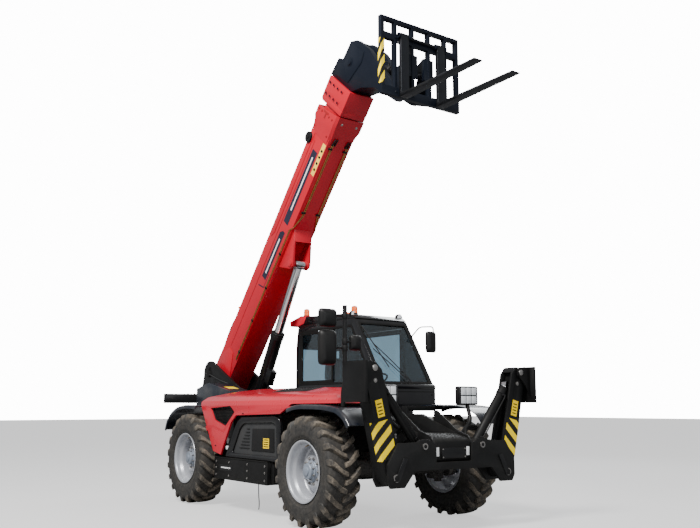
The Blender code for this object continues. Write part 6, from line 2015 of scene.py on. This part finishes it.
@dataclass
class Chassis(Assembly):
    """The frame with the boom's tower, the axles, tanks and rear beam."""

    def frame_plates(self) -> None:
        """Refines the frame and adds its pins, bolts and cables."""
        self.fit(refined("main_frame", "main_frame_plates", 0.005, 2), FRAME, slot="frame_paint")
        self.fit(refined("engine", "engine_block", 0.01, 2), CAST, slot="cast_iron")
        for side, label in SIDES:
            face = side * 0.3
            spots = [(face, back(y), z) for y, z in ((4.42, 1.2), (4.42, 1.5), (3.45, 1.5), (3.3, 1.1), (3.05, 0.85),
                (3.95, 0.85))]
            self.fit(bolts(f"tower_bolts_{label}", spots, (side, 0, 0), 0.014), ZINC)
            lift = joint_place("lift_cylinder_swing")
            self.fit(turned(f"lift_pin_end_{label}", [(0.298, 0.0), (0.315, 0.0), (0.317, 0.02), (0.314, 0.045),
                (0.298, 0.05)], (0.0, lift.y, lift.z), Axis.X, side, 32), ZINC)
            self.fit(plate(f"tower_edge_{label}", Axis.X, [(back(4.5), 1.16), (back(4.5), 1.52), (back(4.44), 1.52),
                (back(4.44), 1.18)], *sorted((face, face + side * 0.008)), 0.003), FRAME)
            self.fit(tube(f"tower_cable_{label}", smooth_path([(face + side * 0.012, back(4.4), 1.86), (face + side *
                0.014, back(4.2), 1.83), (face + side * 0.013, back(3.85), 1.735), (face + side * 0.013, back(3.5),
                1.66), (face + side * 0.012, back(3.28), 1.6)], 5), 0.007), MESH_GREY)
        # The reflector and its side tag take the amber lens finish, whose faint glow is painted light: a reflector is
        # no lamp.
        for z, finish, name in ((1.57, YELLOW, "tower_label"), (1.46, AMBER, "tower_reflector_painted_glow")):
            tag = box(name, (-0.298, back(4.52) - 0.001, z), (-0.252, back(4.52) + 0.002, z + 0.085), 0.0)
            self.fit(tag, finish)
            side_tag = box(f"{name}_side", (-0.3022, back(4.38), z), (-0.2995, back(4.46), z + 0.08), 0.0)
            self.fit(side_tag, finish)

    def valve_block(self) -> None:
        """Adds the valve block and its pipes beside the lift cylinder."""
        y, z = back(2.62), 1.245
        parts = [box("block", (-0.265, y - 0.16, z - 0.02), (-0.135, y + 0.16, z + 0.16), 0.008, 2)]
        for index in range(4):
            x = -0.245 + index * 0.03
            spot = Vector((x, y - 0.11 + index * 0.07, z + 0.155))
            parts.append(drum("spool", spot, spot + Vector((0, 0, 0.07)), 0.014, 16, 0.003))
            parts.append(drum("spool_nut", spot + Vector((0, 0, 0.02)), spot + Vector((0, 0, 0.04)), 0.02, 6, 0.002))
        self.fuse("valve_block", parts, ZINC)
        lines = []
        for index in range(5):
            x = -0.25 + index * 0.024
            lines.append(tube("line", fillet_path([(x, y - 0.12 + index * 0.02, z + 0.12), (x, y - 0.2, z + 0.3 -
                index * 0.03), (x, y - 0.42, z + 0.26 - index * 0.03), (x, y - 0.46, z - 0.1)], 0.08), 0.01))
        self.fuse("valve_pipes", lines, SEAL)

    def tank(self) -> None:
        """Refines the hydraulic tank and adds its filler and label."""
        self.fit(refined("hydraulic_tank", "hydraulic_tank_cover", 0.018, 3), FENDER, slot="fender_plastic")
        self.fit(turned("tank_filler", [(0.0, 0.05), (0.006, 0.05), (0.01, 0.045), (0.01, 0.0)], (-0.48, back(3.78),
            1.635), Axis.Z, 1.0, 32), TRIM)
        self.fit(plate("tank_label", Axis.X, behind((3.05, 1.585), (3.05, 1.5875), (3.22, 1.619), (3.22, 1.6165)),
            -0.56, -0.4, 0.0), YELLOW)

    def axles(self) -> None:
        """Refines the axles and knuckles and adds their covers and bolts."""
        for axle in ("front", "rear"):
            self.fit(refined(f"{axle}_axle", f"{axle}_axle_casting", 0.006, 2), CAST, slot="cast_iron")
            centre = back(0.0 if axle == "front" else 3.09)
            for _, label in SIDES:
                node = f"knuckle_{axle}_{label}"
                self.fit(refined(node, f"{node}_casting", 0.004, 2), CAST, node, "cast_iron")
            self.fit(turned(f"{axle}_axle_cover", [(0.17, 0.0), (0.168, 0.05), (0.155, 0.09), (0.148, 0.125), (0.135,
                0.13)], (0.0, centre, 0.62), Axis.Y, -1.0 if axle == "front" else 1.0, 40), CAST)
            ring = [(math.sin(a) * 0.135, centre + (-0.15 if axle == "front" else 0.15), 0.62 + math.cos(a) * 0.135)
                for a in (math.tau * i / 10 for i in range(10))]
            self.fit(bolts(f"{axle}_axle_bolts", ring, (0, -1 if axle == "front" else 1, 0), 0.009), ZINC)

    def rear(self) -> None:
        """Refines the rear beam and adds its lamps and blank plate."""
        self.fit(refined("rear_light_beam", "rear_beam", 0.006, 2), BLACK, slot="black_paint")
        low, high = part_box("rear_light_beam")
        for side, label in SIDES:
            for index, finish in enumerate((TAIL, AMBER, CLEAR)):
                x = side * (0.665 + index * 0.085)
                lens = box(f"tail_lamp_{label}_{index}", (x - 0.034, high.y - 0.008, 1.412), (x + 0.034, high.y -
                    0.0005, 1.498), 0.006, 3)
                self.fit(lens, finish)
            spots = [(side * x, low.y + 0.035, high.z) for x in (0.4, 0.52)]
            self.fit(bolts(f"rear_beam_bolts_{label}", spots, (0, 0, 1), 0.011), ZINC)
        self.fit(box("rear_plate", (-0.26, low.y + 0.0705, 1.4), (0.26, low.y + 0.074, 1.51), 0.001), WHITE)

    def make(self) -> None:
        """Builds the chassis details."""
        self.frame_plates()
        self.valve_block()
        self.tank()
        self.axles()
        self.rear()


# ---- Front: nose, stabilisers and lamps ----------------------------------------------


LEG_LINE = -2.3513


@dataclass
class Nose(Assembly):
    """The nose with its step plate, perforated grille and sloped cheeks."""

    half: float = 0.26
    front: float = -2.465

    def shell(self) -> None:
        """Refines the nose and adds the step tread."""
        self.fit(refined("front_nose", "front_nose_box", 0.01, 3), FRAME, slot="frame_paint")
        tread = []
        for row in range(5):
            for index in range(9):
                x = -0.215 + index * 0.0505 + (0.012 if row % 2 else 0.0)
                y = -2.255 - row * 0.036
                z = 1.036 - (abs(y) - 2.22) * 0.238
                tread.append(box("tooth", (x, y - 0.006, z - 0.006), (x + 0.026, y + 0.006, z + 0.0015), 0.0012, 1))
        self.fuse("nose_tread", tread, FRAME)

    def grille(self) -> None:
        """Adds the perforated sheet on the nose's face with dark discs as painted shade in its holes, its bolts and
        the blank white plates.
        """
        y = self.front + 0.002
        dark = []
        # Dark discs stand proud of the sheet where its holes are: painted shade for the holes, which are not cut.
        for row in range(4):
            for index in range(11):
                x = -0.125 + index * 0.025 + (0.0125 if row % 2 else 0.0)
                z = 0.795 + row * 0.022
                place = y + (0.014 if z < 0.84 else 0.004) * 0.3
                dark.append(drum("hole", (x, place - 0.0022, z), (x, place + 0.004, z), 0.0082, 10))
        self.fit(box("nose_grille_sheet", (-0.165, y - 0.0028, 0.775), (0.185, y + 0.014, 0.885), 0.003), BLACK,
            slot="black_paint")
        for piece in dark:
            piece.data.transform(Matrix.Translation((0.0, -0.0021, 0.0)))
        self.fuse("nose_grille_hole_shade", dark, SEAL)
        spots = [(x, y - 0.0025, z) for x in (-0.15, 0.17) for z in (0.787, 0.873)]
        self.fit(bolts("nose_bolts", spots, (0, -1, 0), 0.006), ZINC)
        for x, label in ((-0.228, "right"), (0.215, "left")):
            self.fit(box(f"nose_plate_{label}", (x - 0.02, y - 0.002, 0.8), (x + 0.02, y + 0.012, 0.895), 0.002),
                WHITE)

    def cheeks(self) -> None:
        """Adds the sloped side plates with their rolled bars."""
        for side, label in SIDES:
            inner, outer = sorted((side * (self.half + 0.004), side * (self.half + 0.022)))
            self.fit(plate(f"nose_cheek_{label}", Axis.X, [(-1.83, 1.06), (-1.85, 1.28), (-1.9, 1.285), (-2.235,
                1.065), (-2.4, 1.01), (-2.44, 0.97), (-2.445, 0.9), (-2.225, 0.9)], inner, outer, 0.004, 2), FRAME,
                slot="frame_paint")
            self.fit(tube(f"nose_bar_{label}", fillet_path([(side * (self.half + 0.013), -2.24, 1.055), (side *
                (self.half + 0.013), -2.42, 1.0), (side * (self.half + 0.013), -2.452, 0.955), (side * (self.half +
                0.013), -2.452, 0.8)], 0.03), 0.011), BLACK)

    def make(self) -> None:
        """Builds the nose."""
        self.shell()
        self.grille()
        self.cheeks()


@dataclass
class Stabilisers(Assembly):
    """The two folding legs with their pads, signs and pins."""

    def beam(self) -> None:
        """Refines the cross beam and adds its pins, brackets and hoses."""
        self.fit(refined("stabiliser_beam", "stabiliser_beam_box", 0.007, 2), FRAME, slot="frame_paint")
        front = -2.494
        for side, label in SIDES:
            caps = []
            for x, z, radius in ((0.81, 0.6, 0.04), (0.42, 0.91, 0.034)):
                caps.append(turned("cap", [(front + 0.002, 0.0), (front, radius), (front + 0.004, radius), (front +
                    0.03, radius * 1.1), (front + 0.03, 0.0)], (side * x, 0.0, z), Axis.Y, 1.0, 28))
            for piece in caps:
                piece.data.transform(Matrix.Translation((0.0, 0.0012, 0.0)))
            self.fuse(f"beam_pins_{label}", caps, ZINC)
            self.fit(plate(f"beam_keeper_{label}", Axis.Y, [(side * 0.775, 0.565), (side * 0.845, 0.565), (side * 0.72,
                0.8), (side * 0.665, 0.79)], front + 0.0004, front + 0.008, 0.002), BLACK)
            hoses = []
            for index in range(3):
                z = 1.01 + index * 0.018
                hoses.append(tube("hose", smooth_path([(side * 0.36, -2.27 + index * 0.02, 0.98), (side * 0.4, -2.26,
                    z + 0.05), (side * (0.52 + index * 0.01), -2.25, z + 0.06), (side * 0.6, -2.24, z + 0.02), (side *
                    0.63, -2.235, 0.985)], 5), 0.009))
            self.fuse(f"beam_hoses_{label}", hoses, SEAL)
            fittings = []
            for index in range(3):
                for level in range(2):
                    spot = Vector((side * (0.625 + 0.0 * index), -2.245 + index * 0.012, 0.99 + level * 0.028))
                    fittings.append(drum("fitting", spot, spot + Vector((0.0, 0.0, 0.022)), 0.01, 6, 0.001))
            self.fuse(f"beam_fittings_{label}", fittings, ZINC)

    def leg(self, side: float, label: str) -> None:
        """Refines one leg and adds its signs and bolts."""
        self.fit(refined(f"stabiliser_leg_{label}", f"leg_{label}_shell", 0.008, 2), LEG, f"leg_{label}",
            "black_paint")
        foot, tip = Vector((side * 0.81, 0.0, 0.6)), Vector((side * 1.08, 0.0, 1.72))
        along = (tip - foot).normalized()
        across = Vector((along.z, 0.0, -along.x)) * side
        front = LEG_LINE - 0.095

        def spot(length: float, off: float) -> Flat:
            """Returns (x, z) of a place along and across the leg."""
            place = foot + along * length + across * off
            return (place.x, place.z)

        sign = plate(f"leg_warning_{label}", Axis.Y, [spot(0.2, -0.085), spot(0.2, 0.1105), spot(0.6, 0.1105),
            spot(0.6, -0.085)], front - 0.0016, front + 0.004, 0.0)
        bands = WARNING_RIGHT if side < 0 else WARNING_LEFT
        self.fit(sign, bands, f"leg_{label}")
        wrap = box(f"leg_side_band_{label}", (-0.001, LEG_LINE - 0.0955, 0.2), (0.0016, LEG_LINE - 0.005, 0.6), 0.0)
        lean = standing(along)
        wrap.data.transform(Matrix.Translation(foot + across * 0.1105) @ lean)
        self.fit(wrap, bands, f"leg_{label}")
        self.fit(plate(f"leg_label_{label}", Axis.Y, [spot(0.64, -0.035), spot(0.64, 0.055), spot(0.82, 0.055),
            spot(0.82, -0.035)], front - 0.0016, front + 0.004, 0.0), YELLOW, f"leg_{label}")
        marks = [plate("mark", Axis.Y, [spot(low, -0.02), spot(low, 0.04), spot(low + 0.012, 0.04), spot(low + 0.012,
            -0.02)], front - 0.0022, front, 0.0) for low in (0.665, 0.7, 0.735, 0.77)]
        self.fuse(f"leg_label_lines_{label}", marks, TRIM, f"leg_{label}")
        holes = [Vector((*(spot(length, 0.0)[:1]), front, spot(length, 0.0)[1])) for length in (0.06, 1.02)]
        self.fit(bolts(f"leg_bolts_{label}", holes, (0, -1, 0), 0.017), ZINC, f"leg_{label}")

    def pad(self, side: float, label: str) -> None:
        """Refines one pad and adds its ribs, lugs and pin."""
        self.fit(refined(f"stabiliser_pad_{label}", f"pad_{label}_plate", 0.006, 2), LEG, f"pad_{label}",
            "black_paint")
        pin = [drum("pin_end", (side * 1.08, LEG_LINE + end * 0.12, 1.72), (side * 1.08, LEG_LINE + end * 0.14, 1.72),
            0.034, 24, 0.004) for end in (-1.0, 1.0)]
        self.fuse(f"pad_pins_{label}", pin, ZINC, f"pad_{label}")
        shield = []
        for end in (-1.0, 1.0):
            low, high = sorted((LEG_LINE + end * 0.124, LEG_LINE + end * 0.136))
            shield.append(plate("cheek", Axis.Y, [(side * 1.224, 1.44), (side * 1.224, 1.776), (side * 1.14, 1.788),
                (side * 1.06, 1.775), (side * 1.03, 1.72), (side * 1.055, 1.66), (side * 1.14, 1.58)], low, high,
                0.003))
        self.fuse(f"pad_cheeks_{label}", shield, LEG, f"pad_{label}")
        rims = [box("rim", (side * 1.222, LEG_LINE - 0.199, z), (side * 1.2545, LEG_LINE + 0.199, z + 0.014), 0.003)
            for z in (1.372, 1.775)]
        self.fuse(f"pad_rims_{label}", rims, LEG, f"pad_{label}")

    def make(self) -> None:
        """Builds the stabilisers."""
        self.beam()
        for side, label in SIDES:
            self.leg(side, label)
            self.pad(side, label)


def leg_cylinders() -> list[Cylinder]:
    """Returns the two leg cylinders."""
    made = []
    for side, label in SIDES:
        base = joint_place(f"leg_cylinder_{label}")
        made.append(Cylinder(f"stabiliser_{label}", f"stabiliser_barrel_{label}", f"stabiliser_rod_{label}", (base.x,
            base.y, base.z), (side * 0.95, base.y, 1.58), 0.051, 0.79, 0.032, f"leg_barrel_{label}"))
    return made


@dataclass
class WorkLamps(Assembly):
    """The two lamps on bent tubes: a dark housing with six bright cells in each."""

    def lamp(self, side: float, label: str) -> None:
        """Builds one lamp.

        Args:
            side: Sign of the side.
            label: Name of the side.
        """
        x = side * 0.61
        route = fillet_path([(x, -2.05, 1.355), (side * 0.6, -2.12, 1.16), (side * 0.36, -2.175, 0.99), (side * 0.32,
            -2.12, 0.91)], 0.07)
        whole = [tube("tube", route, 0.0235), box("foot", (side * 0.301, -2.178, 0.842), (side * 0.339, -2.042, 0.958),
            0.006, 2)]
        low, high = (x - 0.152, -2.075, 1.343), (x + 0.152, -2.003, 1.562)
        whole.append(box("housing", low, high, 0.022, 4))
        for index in range(7):
            px = low[0] + 0.035 + index * 0.037
            whole.append(box("fin", (px, -2.006, 1.365), (px + 0.006, -2.0005, 1.54), 0.001))
        piece = joined(f"work_lamp_body_{label}", whole)
        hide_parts(f"work_lamp_{label}")
        self.fit(piece, TRIM, slot="lamp_housing")
        self.fit(box(f"work_lamp_rim_{label}", (x - 0.15, -2.086, 1.345), (x + 0.15, -2.05, 1.56), 0.022, 4), GLOSS)
        cells = []
        for row in range(2):
            for column in range(3):
                cx, cz = x - 0.084 + column * 0.084, 1.404 + row * 0.098
                cells.append(box("cell", (cx - 0.038, -2.0895, cz - 0.043), (cx + 0.038, -2.08, cz + 0.043), 0.008, 3))
        self.fuse(f"work_lamp_cells_{label}", cells, CLEAR)
        spots = [(x - 0.084 + column * 0.084, -2.0893, 1.404 + row * 0.098) for row in range(2) for column in range(3)]
        dots = [drum("dot", Vector(spot), Vector(spot) + Vector((0, -0.0006, 0)), 0.01, 16) for spot in spots]
        self.fuse(f"work_lamp_dots_{label}", dots, WHITE)

    def make(self) -> None:
        """Builds the lamps."""
        for side, label in SIDES:
            self.lamp(side, label)


ASSEMBLIES: list[Assembly] = [*(Wheel(axle, side) for axle in ("front", "rear") for side in ("left", "right")), Boom(),
    *boom_cylinders(), Head(), EngineHood(), SideBox(), Mudguards(), Chassis(), Cab(), Interior(), Mirrors(), Nose(),
    Stabilisers(), *leg_cylinders(), WorkLamps(),]


# ---- Stage ---------------------------------------------------------------------------


@dataclass
class Studio:
    """Floor, light and camera."""

    place: Point = (-6.257, -9.261, 1.323)
    yaw: float = 35.645
    pitch: float = 9.82
    lens: float = 42.43

    def camera(self) -> None:
        """Sets up the camera."""
        data = bpy.data.cameras.new("camera")
        data.lens = self.lens
        data.sensor_width = 36.0
        data.clip_end = 400.0
        camera = bpy.data.objects.new("camera", data)
        shown(camera)
        camera.location = self.place
        camera.rotation_euler = (math.radians(90.0 + self.pitch), 0.0, math.radians(-self.yaw))
        bpy.context.scene.camera = camera

    def floor(self) -> None:
        """Lays the pale floor."""
        deselect()
        bpy.ops.mesh.primitive_plane_add(size=160.0, location=(0.0, 0.0, -0.001))
        floor = bpy.context.object
        floor.name = "floor"
        nodes = Nodes("floor_pale")
        nodes.setup(Base_Color=(0.34, 0.34, 0.34), Emission_Color=(1.0, 1.0, 1.0))
        ray = nodes.add("LightPath")
        nodes.setup(Emission_Strength=nodes.math("MULTIPLY", ray.outputs["Is Camera Ray"], 0.85), Roughness=0.85,
            Specular_IOR_Level=0.15)
        floor.data.materials.append(nodes.material)

    def light(self) -> None:
        """Sets the soft sky and the lamps."""
        world = bpy.data.worlds.new("studio")
        world.use_nodes = True
        tree = world.node_tree
        seen = tree.nodes["Background"]
        seen.inputs[0].default_value = (1.0, 1.0, 1.0, 1.0)
        seen.inputs[1].default_value = 14.0
        soft = tree.nodes.new("ShaderNodeBackground")
        soft.inputs[0].default_value = (0.94, 0.97, 1.0, 1.0)
        soft.inputs[1].default_value = 0.5
        ray = tree.nodes.new("ShaderNodeLightPath")
        chosen = tree.nodes.new("ShaderNodeMixShader")
        tree.links.new(ray.outputs["Is Camera Ray"], chosen.inputs[0])
        tree.links.new(soft.outputs[0], chosen.inputs[1])
        tree.links.new(seen.outputs[0], chosen.inputs[2])
        tree.links.new(chosen.outputs[0], tree.nodes["World Output"].inputs["Surface"])
        bpy.context.scene.world = world
        for name, place, aim, size, power, colour in (("key", (-8.5, -4.5, 11.0), (0.0, -0.5, 2.0), 4.0, 3300.0, (1.0,
            0.98, 0.95)), ("front", (-1.0, -12.0, 5.0), (0.0, -1.0, 1.8), 6.0, 300.0, (0.95, 0.98, 1.0)), ("rim", (9.0,
            5.0, 8.0), (0.0, 0.0, 2.5), 5.0, 500.0, (0.95, 0.98, 1.0)),):
            data = bpy.data.lights.new(name, "AREA")
            data.shape = "DISK"
            data.size = size
            data.energy = power
            data.color = colour
            lamp = bpy.data.objects.new(name, data)
            shown(lamp)
            lamp.location = place
            lamp.rotation_euler = (Vector(aim) - Vector(place)).to_track_quat("-Z", "Y").to_euler()

    def make(self) -> None:
        """Builds the whole stage."""
        self.camera()
        self.floor()
        self.light()


def dress_rest() -> None:
    """Gives a finish to every CAD node that is still shown."""
    finishes = {"frame_paint": FRAME, "black_paint": BLACK, "red_paint": RED, "navy_paint": NAVY, "fender_plastic":
        FENDER, "rim_paint": SILVER, "rubber": SEAL, "chrome": CHROME, "cast_iron": CAST, "glass": GLASS,
        "seat_fabric": CLOTH, "trim_plastic": TRIM, "fork_steel": FORK, "lamp_housing": GLOSS, "strap_rubber": SEAL,}
    slots = {row["node"]: row["material_slot"] for row in frame["record"]["subparts"]}
    for name, node in frame["nodes"].items():
        if not node.hide_render:
            node.data.materials.clear()
            node.data.materials.append(finishes[slots[name]].material())


def main() -> None:
    """Builds every sub-assembly in order."""
    logging.basicConfig(level=logging.INFO, format="%(message)s")
    random.seed(SEED)
    Studio().make()
    for assembly in ASSEMBLIES:
        assembly.make()
        assembly.report()
    dress_rest()
    deselect()


if __name__ == "__main__":
    main()
